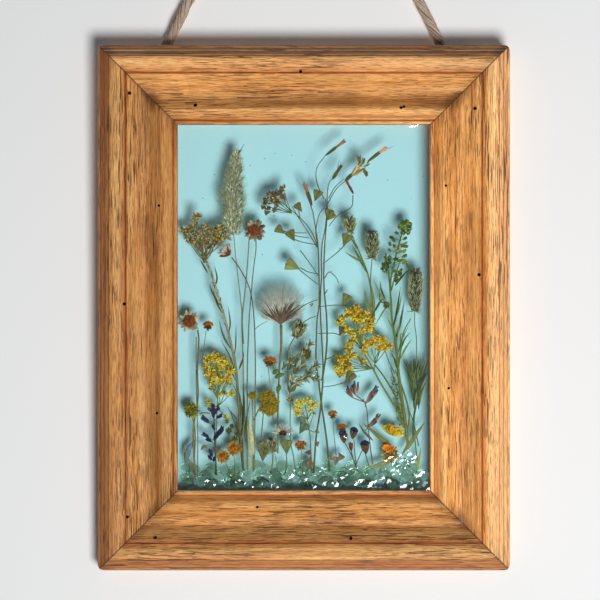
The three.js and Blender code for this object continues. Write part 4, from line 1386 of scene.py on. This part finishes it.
def bud(heap, foot, tip, half_width, sleeve, petals, bristles, pick):
    """A closed bud: folded petals that come out of a ribbed green sleeve"""
    foot, tip = spot(*foot), spot(*tip)
    ahead = (tip - foot) / np.linalg.norm(tip - foot)
    length = np.linalg.norm(tip - foot) / MM
    across = np.cross(ahead, (0, -1, 0))
    for n in range(7):
        side = (n - 3) / 3
        dye = tinted(pick, sleeve)
        spike(heap, foot, ahead + across * side * 0.1, length * pick.uniform(0.5, 0.62),
              half_width * 0.5, dye * 0.7, dye, BLADE, -0.03 * side, (0.4, 0.9, 1, 0.8, 0.2), 0.4)
        dye = tinted(pick, petals)
        spike(heap, foot + ahead * length * 0.25 * MM, ahead + across * side * 0.08,
              length * pick.uniform(0.62, 0.78), half_width * 0.42, dye * 0.8, dye * 1.1, BLADE,
              -0.03 * side, (0.5, 0.9, 1, 0.8, 0.4), 0.3)
    for _ in range(bristles):
        spike(heap, foot + ahead * length * 0.6 * MM, ahead + across * pick.uniform(-0.5, 0.5),
              length * pick.uniform(0.5, 0.8), 0.1, dried(84, 82, 52), shape=HAIR,
              bow=pick.uniform(-0.06, 0.06), outline=(1, 0.8, 0.4), thick=0.1)


salmon = dried(222, 144, 92)
pink_brown = dried(172, 112, 78)
green_brown = dried(92, 82, 42)
# Each bud's foot and tip, half width, the dyes of its sleeve and petals, and its bristles
BUDS = [
    ((80.8, 183.4), (91.5, 191.6), 1.5, [green_brown, wiry], [pink_brown, dried(150, 104, 76)], 0),
    ((84.6, 170.4), (89.6, 178), 2.1, [green_brown, moss], [green_brown * 0.8], 5),
    ((104, 180.2), (115, 188.4), 1.7, [green_brown, wiry], [salmon, dried(238, 164, 96)], 2),
    ((96.2, 162.4), (92.2, 170), 1.4, [dried(110, 68, 44)], [dried(176, 84, 60), maroon], 0),
    ((73.4, 156), (69.2, 168.6), 2.1, [green_brown, pod_brown],
     [dried(172, 128, 104), pink_brown], 3),
    ((91.6, 169.6), (99.4, 176.6), 2.2, [green_brown, moss], [dried(206, 184, 130)], 0),
    ((103.6, 179.4), (107, 182.6), 0.6, [green_brown], [green_brown], 0)]
for closed_bud in BUDS:
    bud(tall, *closed_bud, pick)
OPEN_PETALS = 22
for _ in range(OPEN_PETALS):
    ahead = heading(42 + pick.uniform(-16, 22), pick.uniform(-15, 25))
    dye = tinted(pick, [dried(206, 184, 128), dried(172, 136, 84), dried(140, 118, 62)])
    spike(tall, spot(95, 172.2, 9), ahead, pick.uniform(5, 9.4), pick.uniform(0.4, 0.7), dye * 0.8,
          dye, BLADE, pick.uniform(-0.1, 0.1), (0.3, 0.8, 1, 0.8, 0.4), 0.14)
for u, v, turn, length in ((100.4, 177, -8, 7), (101, 176.6, 150, 5.4), (101.6, 177.4, 60, 4),
                           (100.6, 178, 20, 4.4), (100.8, 175.6, 120, 4)):
    for _ in range(3):
        dye = tinted(pick, [dried(186, 162, 104), dried(136, 112, 60), green_brown])
        spike(tall, spot(u, v, 9), heading(turn + pick.uniform(-14, 14)), length, 0.55, dye,
              dye * 0.8, BLADE, pick.uniform(-0.12, 0.12), PETAL_SHAPE, 0.14)


def pod(heap, u, v, turn, size, dye, pick):
    """A flat three-cornered pod, its point at u, v, and its broad end a little hollow"""
    foot = spot(u, v, 8.8)
    for side in (-1, 1):
        lobe = dye * pick.uniform(0.86, 1.06)
        spike(heap, foot, heading(turn + side * 13.5, 4), size, size * 0.25, lobe * 0.8, lobe * 1.1,
              BLADE, 0, (0.08, 0.24, 0.4, 0.56, 0.72, 0.88, 1, 0.9), 0.24)
    spike(heap, foot, heading(turn, 3), size * 0.9, 0.14, dye * 0.6, dye * 0.7, HAIR, 0,
          (1, 0.8, 0.5), 0.34)


PODS = [(68, 152.6, -36, 5.6, pod_olive), (58.6, 140.6, -54, 6, pod_olive),
        (63.9, 136.4, -28, 6.8, pod_olive),
        (67, 121.2, -66, 8.6, dried(136, 136, 80)), (90.6, 133.6, 22, 7.4, dried(124, 122, 64)),
        (90.4, 101.2, 26, 6.8, dried(118, 116, 62)), (88.6, 84.6, 22, 5.4, pod_brown),
        (91.6, 58.6, 36, 7.6, pod_olive), (81.6, 147.8, 16, 6.6, pod_olive),
        (82, 148, 44, 5.4, dried(128, 126, 62)), (75, 158.4, 20, 6.6, pod_olive),
        (59.6, 19.4, -2, 8.2, dried(120, 118, 70)), (66.6, 30.8, 30, 7, dried(104, 116, 86)),
        (69.4, 20.6, 90, 3.6, dried(124, 88, 62)), (73.2, 18.4, 200, 4, dried(128, 98, 72)),
        (76.6, 23.6, -8, 3, dried(134, 88, 52)), (70.8, 10.4, 20, 5.4, dried(120, 104, 78)),
        (84, 20.4, 190, 4, dried(136, 116, 92)), (88, 20.6, 150, 4.4, dried(128, 102, 78)),
        (86.2, 13.4, 12, 5, dried(132, 112, 88)), (46.4, 15.6, 4, 7, dried(110, 108, 66)),
        (42.4, 24, 80, 5, dried(120, 116, 76))]
for u, v, turn, size, dye in PODS:
    pod(tall, u, v, turn, size, dye * pick.uniform(0.9, 1.1), pick)
UMBEL_SPOTS = [(47.6, 156.4), (50, 153.8), (49, 159.6), (51.8, 157.6), (54, 155), (53, 160.4),
               (55.6, 158.2), (56.6, 162), (57.8, 165.2), (54.6, 163), (58, 159.6), (51, 162)]
for u, v in UMBEL_SPOTS:
    middle = spot(u, v, pick.uniform(8.4, 9.6))
    stem(tall, [(62.4, 152), ((u + 62) / 2, (v + 151) / 2), (u, v)], (0.2, 0.14), wiry, wiry, 8.6)
    tufted(tall, middle, 13, 2.9,
           [pod_brown, dried(94, 74, 46), dried(196, 168, 130), pod_olive], pick, -40, 90, 0.55)
    pod(tall, u + 1, v - 1, -60 + pick.uniform(-50, 70), pick.uniform(3, 4.4), pod_brown, pick)
tall.make("tall_buds_and_pods", herbage, "dried_plants")


# ---------------------------------------------------------------- green pod spike
# A fresh-green spike: a curled knob at the top, small round pods on short stalks, narrow leaves
# in tufts and a ribbed stem that thickens to its foot.

pick = random.Random(110)
green_spike = Heap()
fresh = dried(88, 104, 40)
deep_green = dried(62, 78, 28)
light_green = dried(124, 134, 62)
# Each stem's places, half widths, dyes at foot and tip, and depth
SPIKE_STEMS = [
    ([(126.2, 24), (124.6, 38), (122.9, 49.3), (120.7, 65.8), (119.6, 79.5), (117.4, 93.2),
      (116.9, 104.1), (116.3, 112.3), (117.8, 120.6), (119.6, 128.8), (121.8, 137), (123, 141.6)],
     (0.8, 0.9, 0.95, 0.85, 0.7, 0.6, 0.5, 0.45, 0.4), dried(122, 120, 60), fresh * 1.3, 8),
    ([(120.6, 66), (122, 76), (123.6, 86), (127.6, 94)], (0.6, 0.5, 0.3), fresh, light_green, 8.2),
    ([(116.4, 110), (115.6, 118), (114.4, 124), (114, 130)], (0.5, 0.4), fresh, fresh, 8.6),
    ([(116.8, 109), (119, 117), (121.4, 124), (123.4, 128)], (0.45, 0.3), fresh, light_green, 8.4)]
for branch in SPIKE_STEMS:
    stem(green_spike, *branch)
for u, v, radius in ((124.4, 145, 3.1), (122.2, 144.4, 2.2), (126.6, 143.4, 2.2), (123.4, 141.4, 2),
                     (125.4, 147, 1.8), (127, 145.6, 1.8), (126.2, 141.2, 1.6), (123, 146.6, 1.7)):
    for n in range(7):
        dye = tinted(pick, [fresh, deep_green, light_green], 0.15)
        away = heading(n * 51, 20) * radius * 0.5 * MM
        bead(green_spike, spot(u, v, 8.8) + away, (radius * 0.8, 1.3, radius * 0.9), dye)
ROUND_PODS = [
    (119.9, 141), (117.2, 138.4), (118.2, 137.2), (124.6, 138), (124.9, 135.4), (122.6, 134.6),
    (116.2, 135), (118.6, 133.8), (123.2, 134), (125, 133.6), (124.2, 131), (122, 130.6),
    (124.4, 128.4), (123.6, 126), (121.6, 125.8), (124.2, 124.8), (112.6, 123.4), (114.6, 119.6),
    (121.8, 118.4), (116, 131.6), (119.4, 126.6), (113.6, 127.4), (122.4, 120.6), (120.2, 131.4)]
for u, v in ROUND_PODS:
    root_v = min(v - 1.6, 138)
    root_u = float(np.interp(root_v, (112, 120, 129, 137, 141), (116.3, 117.6, 119.6, 121.8, 123)))
    stem(green_spike, [(root_u, root_v), ((u + root_u) / 2, v - 0.6), (u, v)], (0.16, 0.12), fresh,
         light_green, 8.6)
    size = pick.uniform(2.1, 2.9)
    toward = heading(pick.uniform(20, 80) * (1 if u > root_u else -1))
    bead(green_spike, spot(u, v, 8.8), (size * 0.8, 0.8, size * 1.15),
         tinted(pick, [fresh, deep_green, dried(128, 132, 50)], 0.2), ahead=toward)
for u, v, spread in ((114.6, 123.8, 2.2), (116, 126.2, 1.9), (113.4, 121.6, 1.8),
                     (120.2, 118.6, 1.9), (114.4, 101.4, 1.5), (119.8, 115.6, 1.4)):
    for _ in range(26):
        away = heading(pick.uniform(0, 360), pick.uniform(0, 30)) * pick.uniform(0.2, 1.2)
        bead(green_spike, spot(u, v, 8.6) + away * spread * MM, (1.1, 0.9, 1.3),
             tinted(pick, [deep_green, fresh, moss], 0.2))
SPIKE_LEAVES = [
    [(117, 98), (112.6, 104.6), (106.8, 115.8)], [(115.6, 102), (112, 97), (108, 90)],
    [(114.4, 102.4), (110.8, 104), (110.6, 111)], [(118, 88.6), (120, 98), (122, 111.4)],
    [(118.4, 93), (121, 99), (122.6, 108)], [(118.8, 82), (121.6, 90), (124.2, 104)],
    [(119.4, 79), (121, 88), (122, 96)], [(119.6, 86), (116.6, 90.8), (114.6, 95)],
    [(120, 72), (122.6, 82), (126.6, 90)], [(122.6, 78), (124.4, 83), (127.6, 86.6)],
    [(122, 72), (125, 78), (128.4, 82.8)], [(121.8, 80), (122.4, 86), (124.6, 84)],
    [(120.4, 66), (118.6, 72), (117, 75)], [(124.6, 126), (127, 120), (127.4, 121.4)],
    [(119, 112), (122.8, 117), (126.8, 121)], [(114, 104), (111.4, 110), (111, 115)]]
for places in SPIKE_LEAVES:
    dye = tinted(pick, [fresh, deep_green, light_green], 0.15)
    leaf(green_spike, places, pick.uniform(0.45, 0.8), dye * 0.85, dye * 1.1, pick.uniform(7.4, 9))
LOWER_BRANCHES = [([(124, 34), (121.6, 44), (118.6, 52.6), (113, 62), (108, 68.6)], 0.6),
                  ([(122.6, 36), (122.4, 48), (119.2, 58), (116.6, 67)], 0.45),
                  ([(126, 33), (126.8, 42), (123.4, 55), (119, 66)], 0.55),
                  ([(132, 24), (129.4, 36), (126.6, 44)], 0.4),
                  ([(131.6, 12), (129.6, 32), (129, 36)], 0.4)]
for places, half_width in LOWER_BRANCHES:
    stem(green_spike, places, (half_width, half_width * 0.6), dried(120, 118, 60), fresh, 8)
STEM_SEEDS = 40
for _ in range(STEM_SEEDS):
    along = pick.random()
    u, v = 122.8 - 5 * along + pick.uniform(-1.6, 1.6), 35 + 27 * along
    bead(green_spike, spot(u, v, pick.uniform(8, 9.4)), (1, 0.8, 1.2),
         tinted(pick, [deep_green, dried(150, 136, 58), fresh], 0.2),
         ahead=heading(pick.uniform(-70, 70)))
green_spike.make("green_pod_spike", herbage, "dried_plants")


# ---------------------------------------------------------------- leaves and feathery sprigs
# Long flat leaves crossed at the lower right, a dark feathery tuft by the right rail, woolly grey
# sprigs in the middle and pale blades of grass.

pick = random.Random(111)
leaves = Heap()
flat_olive = dried(132, 128, 74)
# Each leaf's places, half width, dyes at foot and tip, and depth
SINGLE_LEAVES = [
    ([(121.4, 17.6), (112, 27.6), (101, 36.9)], 1.5, flat_olive, flat_olive * 0.8, 8.8),
    ([(122.8, 19), (128.6, 27.4), (135.2, 37)], 1.5, dried(142, 136, 82), flat_olive * 0.9, 8.4),
    ([(119.6, 16.8), (111, 14), (102.6, 11.6)], 1.5, flat_olive, dried(150, 142, 92), 9),
    ([(130.8, 9), (132, 17), (133.4, 23.6)], 0.9, dried(158, 154, 70), dried(150, 146, 70), 8.6),
    ([(107, 27), (102, 32), (99.2, 36.6)], 0.8, dried(96, 98, 66), dried(96, 98, 66), 7.6),
    ([(41.3, 19.2), (40.2, 29), (39.1, 41)], 1.5, dried(198, 188, 140), dried(206, 196, 150), 8.6),
    ([(39.4, 10), (39, 24), (37.8, 38)], 0.7, dried(186, 176, 132), dried(170, 166, 130), 8),
    ([(3, 24), (6, 16), (9, 7)], 0.6, dried(140, 130, 96), dried(130, 120, 90), 8),
    ([(12.6, 22), (14.6, 24), (16.4, 21.4)], 1.1, dried(120, 96, 72), dried(150, 118, 84), 8.6)]
for blade in SINGLE_LEAVES:
    leaf(leaves, *blade)
TUFT_DYES = [dried(84, 92, 56), dried(104, 114, 70), dried(66, 76, 56), dried(130, 138, 86)]
TUFT_BLADES = 120
for _ in range(TUFT_BLADES):
    root = (130 + pick.uniform(-1.4, 2.4), 44 + pick.uniform(0, 12))
    lean = pick.uniform(-12, 17)
    length = pick.uniform(10, 20)
    middle = (root[0] + math.sin(math.radians(lean)) * length * 0.5, root[1] + length * 0.5)
    tip = (min(root[0] + math.sin(math.radians(lean * 1.5)) * length, 137.4),
           min(root[1] + length, 72))
    dye = tinted(pick, TUFT_DYES, 0.2)
    leaf(leaves, [root, middle, tip], pick.uniform(0.3, 0.6), dye * 0.8, dye * 1.1,
         pick.uniform(6.8, 9.4))
stem(leaves, [(129, 26), (129.4, 40), (131.6, 52), (132, 60)], (0.6, 0.6, 0.4), fresh,
     deep_green, 8)
wool = [dried(128, 130, 92), dried(98, 104, 70), dried(176, 170, 132), dried(112, 102, 68)]
SPRIGS = [([(60.4, 66), (66, 73), (71.6, 79.4)], 46), ([(62, 56), (68, 61), (75, 68)], 60),
          ([(61, 60), (66.6, 66), (68.8, 74)], 54), ([(60, 51), (63, 60), (64.6, 70)], 40),
          ([(64, 60), (70.6, 62), (74.8, 60.4)], 34), ([(57, 66), (59.4, 68.6), (61, 72)], 22)]
for places, count in SPRIGS:
    strand(leaves, spots(places, 8), (0.5, 0.4, 0.2), wool[3], wool[1])
    along = math.degrees(math.atan2(places[-1][0] - places[0][0], places[-1][1] - places[0][1]))
    for place in smooth_line(spots(places, 8.6), count // 3):
        for side in (-1, 1):
            dye = tinted(pick, wool, 0.2)
            spike(leaves, place, heading(along + side * pick.uniform(8, 46), pick.uniform(-14, 30)),
                  pick.uniform(3.4, 6), 0.62, dye * 0.7, dye * 1.15, BLADE, side * -0.12,
                  LEAF_SHAPE, 0.2, (pick.uniform(-0.8, 0.8), -1, pick.uniform(-0.8, 0.8)))
for u, v, turn, size in ((53, 61.4, 70, 6.4), (52, 63.6, 60, 4.4), (56, 57.6, 200, 5),
                         (62.6, 54, 30, 5)):
    across = math.sin(math.radians(turn)) * size
    up = math.cos(math.radians(turn)) * size
    leaf(leaves, [(u, v), (u + across * 0.5, v + up * 0.5 + 0.6), (u + across, v + up)], 1.6,
         dried(84, 98, 58), dried(104, 118, 66), 8.4)
PALE_HAIRS = 150
for _ in range(PALE_HAIRS):
    ahead = heading(-6 + pick.uniform(-82, 82), pick.uniform(-15, 45))
    dye = tinted(pick, [dried(232, 226, 210), dried(196, 186, 160), dried(240, 234, 222)], 0.15)
    spike(leaves, spot(57.6, 30.6, 9) + ahead * 1.6 * MM, ahead, pick.uniform(3.2, 5.6), 0.15,
          dye * 0.7, dye, HAIR, outline=(1, 1, 0.5), thick=0.15)
tufted(leaves, spot(57.6, 30.6, 10.6), 50, 2.6, [dried(66, 42, 30), dried(104, 70, 46)], pick, 0,
       120)
leaf(leaves, [(4, 15), (5.6, 22), (9.4, 27.6)], 2.1, dried(92, 112, 116), dried(120, 136, 142), 7.6)
stem(leaves, [(58.6, 8), (59.6, 16), (58.6, 28)], (0.34, 0.3), stalk_green, thread, 8.4)
stem(leaves, [(64.6, 8), (63.4, 18), (61.6, 28), (61.6, 50)], (0.3, 0.3), stalk_green,
     stalk_green, 7.6)
tufted(leaves, spot(61.6, 48.6, 8.8), 26, 3, [dried(150, 146, 92), moss, dull_green], pick)
leaves.make("leaves_and_sprigs", herbage, "dried_plants")


# ---------------------------------------------------------------- orange flower at the lower right
# A big double flower, orange at the top and shaggy cream below, that stands up into the front of
# the resin. Small dark specks of dust and seed float round the plants.

pick = random.Random(112)
shaggy = Heap()
SHAGGY_PETALS = 200
TOP_FLORETS = 60
for _ in range(SHAGGY_PETALS):
    angle = pick.uniform(0, 360)
    ahead = heading(angle, pick.uniform(5, 70))
    up_there = abs((angle + 180) % 360 - 180) < 40
    dye = tinted(pick, [orange, dried(240, 150, 40)] if up_there else
                 [dried(150, 132, 70), dried(196, 170, 110), dried(120, 92, 46), olive_yellow], 0.2)
    spike(shaggy, spot(116.3, 19.6, 9.2) + ahead * pick.uniform(0.4, 2.6) * MM, ahead,
          pick.uniform(2, 3.4), 0.45, dye * 0.6, dye * 1.2, BLADE, pick.uniform(-0.1, 0.1),
          PETAL_SHAPE, 0.2)
for _ in range(TOP_FLORETS):
    away = heading(-30 + pick.uniform(-70, 70), 30) * pick.uniform(0.5, 2.7) * MM
    bead(shaggy, spot(114.4, 22.8, 10.6) + away, (1, 0.9, 1.2),
         tinted(pick, [orange, dried(238, 140, 30)], 0.2))
SPECKS = [
    (62.4, 183.6), (53.2, 184.6), (47.6, 181.8), (39.6, 178), (52.6, 150.4), (13.6, 160),
    (115, 170), (102.6, 143), (46.4, 129), (37.9, 111.4), (24, 128), (88.6, 132.6), (134.6, 172),
    (45.8, 62.4), (99.4, 62.4), (113, 186), (128, 160), (70, 180), (20, 173), (84, 120)]
for u, v in SPECKS:
    bead(shaggy, spot(u, v, pick.uniform(6, 11)), (0.55, 0.3, 0.7), dried(66, 62, 50),
         ahead=heading(pick.uniform(0, 180)))
shaggy.make("orange_flower_and_specks", petal_finish, "dried_plants")


# ---------------------------------------------------------------- glass chips
# Tumbled sea-green glass chips in a band along the foot of the panel, two and three deep, with a
# heap of crushed glass at the right. Some stand proud into the front of the resin.

pick = random.Random(113)
chips = bmesh.new()


def glass_chip(middle, size, turn, detail=3):
    """One tumbled chip: an uneven pebble with a few flattened sides"""
    lump = bmesh.ops.create_icosphere(chips, subdivisions=detail, radius=0.5)["verts"]
    shift = Vector((pick.uniform(0, 90), 0, 0))
    flats = [(Vector((pick.gauss(0, 1), pick.gauss(0, 1), pick.gauss(0, 1))).normalized(),
              pick.uniform(0.34, 0.44)) for _ in range(5)]
    for vertex in lump:
        place = vertex.co * (1 + 0.3 * noise.noise(vertex.co * 2 + shift))
        for ahead, reach in flats:
            place -= ahead * max(0, place.dot(ahead) - reach) * 0.8
        vertex.co = place
    bmesh.ops.scale(chips, verts=lump, vec=[part * MM for part in size])
    bmesh.ops.rotate(chips, verts=lump, cent=(0, 0, 0), matrix=Matrix.Rotation(turn, 3, "Y"))
    bmesh.ops.translate(chips, verts=lump, vec=middle)


def between_rails(u):
    """A place across, moved in if a chip there would touch the wood"""
    return min(max(u, 5.2), 132.8)


for u, v in FRONT_CHIPS:
    size = (pick.uniform(8, 10), 4.6, pick.uniform(5.8, 7.4))
    glass_chip(spot(between_rails(u), max(v, size[2] / 2 + 0.3), 10.6), size,
               pick.uniform(-0.3, 0.3))
# Rows of chips: how far up, how deep over the back and how far apart
CHIP_ROWS = ((2.4, 8.6, 13), (4.4, 5.4, 12), (8.8, 8.4, 7.4), (9.6, 5.2, 7.8), (13, 6.6, 14))
for v, deep, spacing in CHIP_ROWS:
    u = 4 + spacing * pick.random()
    while u < BAND_WIDTH:
        size = (pick.uniform(7, 9.6), pick.uniform(3.6, 4.8), pick.uniform(5, 6.8))
        chip_v = max(size[2] / 2, v + pick.uniform(-1.2, 1.2))
        glass_chip(spot(between_rails(u), chip_v, deep), size, pick.uniform(-0.4, 0.4))
        u += spacing * pick.uniform(0.85, 1.2)
CRUSHED_CHIPS = 56
for _ in range(CRUSHED_CHIPS):
    u, v = pick.uniform(113.5, 130), 13.4 + 8.6 * pick.random() ** 1.3
    if v < 22.4 - abs(u - 122.5) * 0.75:
        wide = pick.uniform(1.2, 3)
        glass_chip(spot(u, v, pick.uniform(8.4, 12)), (wide, wide * 0.8, wide),
                   pick.uniform(0, 3), 2)
sea_glass, tone, surface = new_finish("sea_green_glass")
place = tone.node("ShaderNodeTexCoord", give=3)
feed(surface, Base_Color=(1, 1, 1, 1), Transmission_Weight=1.0, IOR=1.055,
     Roughness=place.grain((1, 1, 1), 500, 3).over(0.5, 0.8) * 0.12,
     Normal=place.grain((1, 1, 1), 350, 3).relief(0.0002))
CHIP_TINT = {"Color": (0.14, 0.27, 0, 1), "Density": 175}
let_light_in(sea_glass, tone, surface, tone.node("ShaderNodeVolumeAbsorption", {}, CHIP_TINT))
finished_piece(chips, "glass_chips", sea_glass, 180)


# ---------------------------------------------------------------- wall, floor and lights
# A pale wall close behind the frame, a pale floor below it, and one big soft lamp in front, low
# and a little to the right. The wall's back lets the eye and light through, so that the frame's
# back can be looked at.

WALL_TOP_GAP = 7.5 * MM
WALL_FOOT_GAP = 0.6 * MM
FLOOR_Z = -2.4
LAMP_PLACE = Vector((0.28, -1.215, -0.69))
LAMP_AIM = Vector((0, 0, 0.5))
LAMP_SIZE, LAMP_WATTS = 0.5, 19
FILL_PLACE = Vector((-0.5, 1.4, 0.3))
FILL_SIZE, FILL_WATTS = 1.0, 14
ROOM_LIGHT = (0.8, 0.94, 1.1, 1)


def plain_sheet(name, corners, finish):
    """A flat sheet through four corners"""
    mould = bmesh.new()
    mould.faces.new([mould.verts.new(corner) for corner in corners])
    mesh = bpy.data.meshes.new(name)
    mould.to_mesh(mesh)
    mould.free()
    linked(name, mesh, finish)


def wall_y(z):
    """The wall's distance back at a height: the frame leans a little off it at the top"""
    top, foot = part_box("rail_top")[1][2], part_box("rail_bottom")[0][2]
    share = (z - foot) / (top - foot)
    return BACK_Y + WALL_FOOT_GAP + (WALL_TOP_GAP - WALL_FOOT_GAP) * share


plaster, tone, surface = new_finish("pale_plaster")
feed(surface, Base_Color=(*srgb(232, 231, 229), 1), Roughness=0.95)
behind = tone.node("ShaderNodeNewGeometry", give=6)
shadow = tone.node("ShaderNodeLightPath", give=1)
open_back = behind.maths("MAXIMUM", behind, shadow)
one_sided = clear_where(open_back, Tone(tone.tree, surface.outputs[0]))
feed(plaster.node_tree.nodes["Material Output"], Surface=one_sided)
WALL_HALF_WIDTH = 1.4
WALL_TOP = 1.0
plain_sheet("wall", [(side * WALL_HALF_WIDTH, wall_y(z), z) for side, z in
                     ((-1, FLOOR_Z), (1, FLOOR_Z), (1, WALL_TOP), (-1, WALL_TOP))], plaster)
floor_paint, tone, surface = new_finish("pale_floor")
feed(surface, Base_Color=(*srgb(228, 227, 225), 1), Roughness=0.9)
plain_sheet("floor", [(x, y, FLOOR_Z) for x, y in ((-3, -3), (3, -3), (3, 3), (-3, 3))],
            floor_paint)


def soft_lamp(name, place, target, size, power):
    lamp = bpy.data.lights.new(name, "AREA")
    lamp.shape = "DISK"
    lamp.size = size
    lamp.energy = power
    holder = bpy.data.objects.new(name, lamp)
    holder.location = place
    holder.rotation_euler = (target - place).to_track_quat("-Z", "Y").to_euler()
    bpy.context.scene.collection.objects.link(holder)


soft_lamp("key_lamp", LAMP_PLACE, LAMP_AIM, LAMP_SIZE, LAMP_WATTS)
soft_lamp("back_lamp", FILL_PLACE, MIDDLE, FILL_SIZE, FILL_WATTS)
world = bpy.data.worlds.new("studio")
world.use_nodes = True
feed(world.node_tree.nodes["Background"], Color=ROOM_LIGHT, Strength=0.14)
bpy.context.scene.world = world
bpy.context.scene.view_settings.view_transform = "Standard"
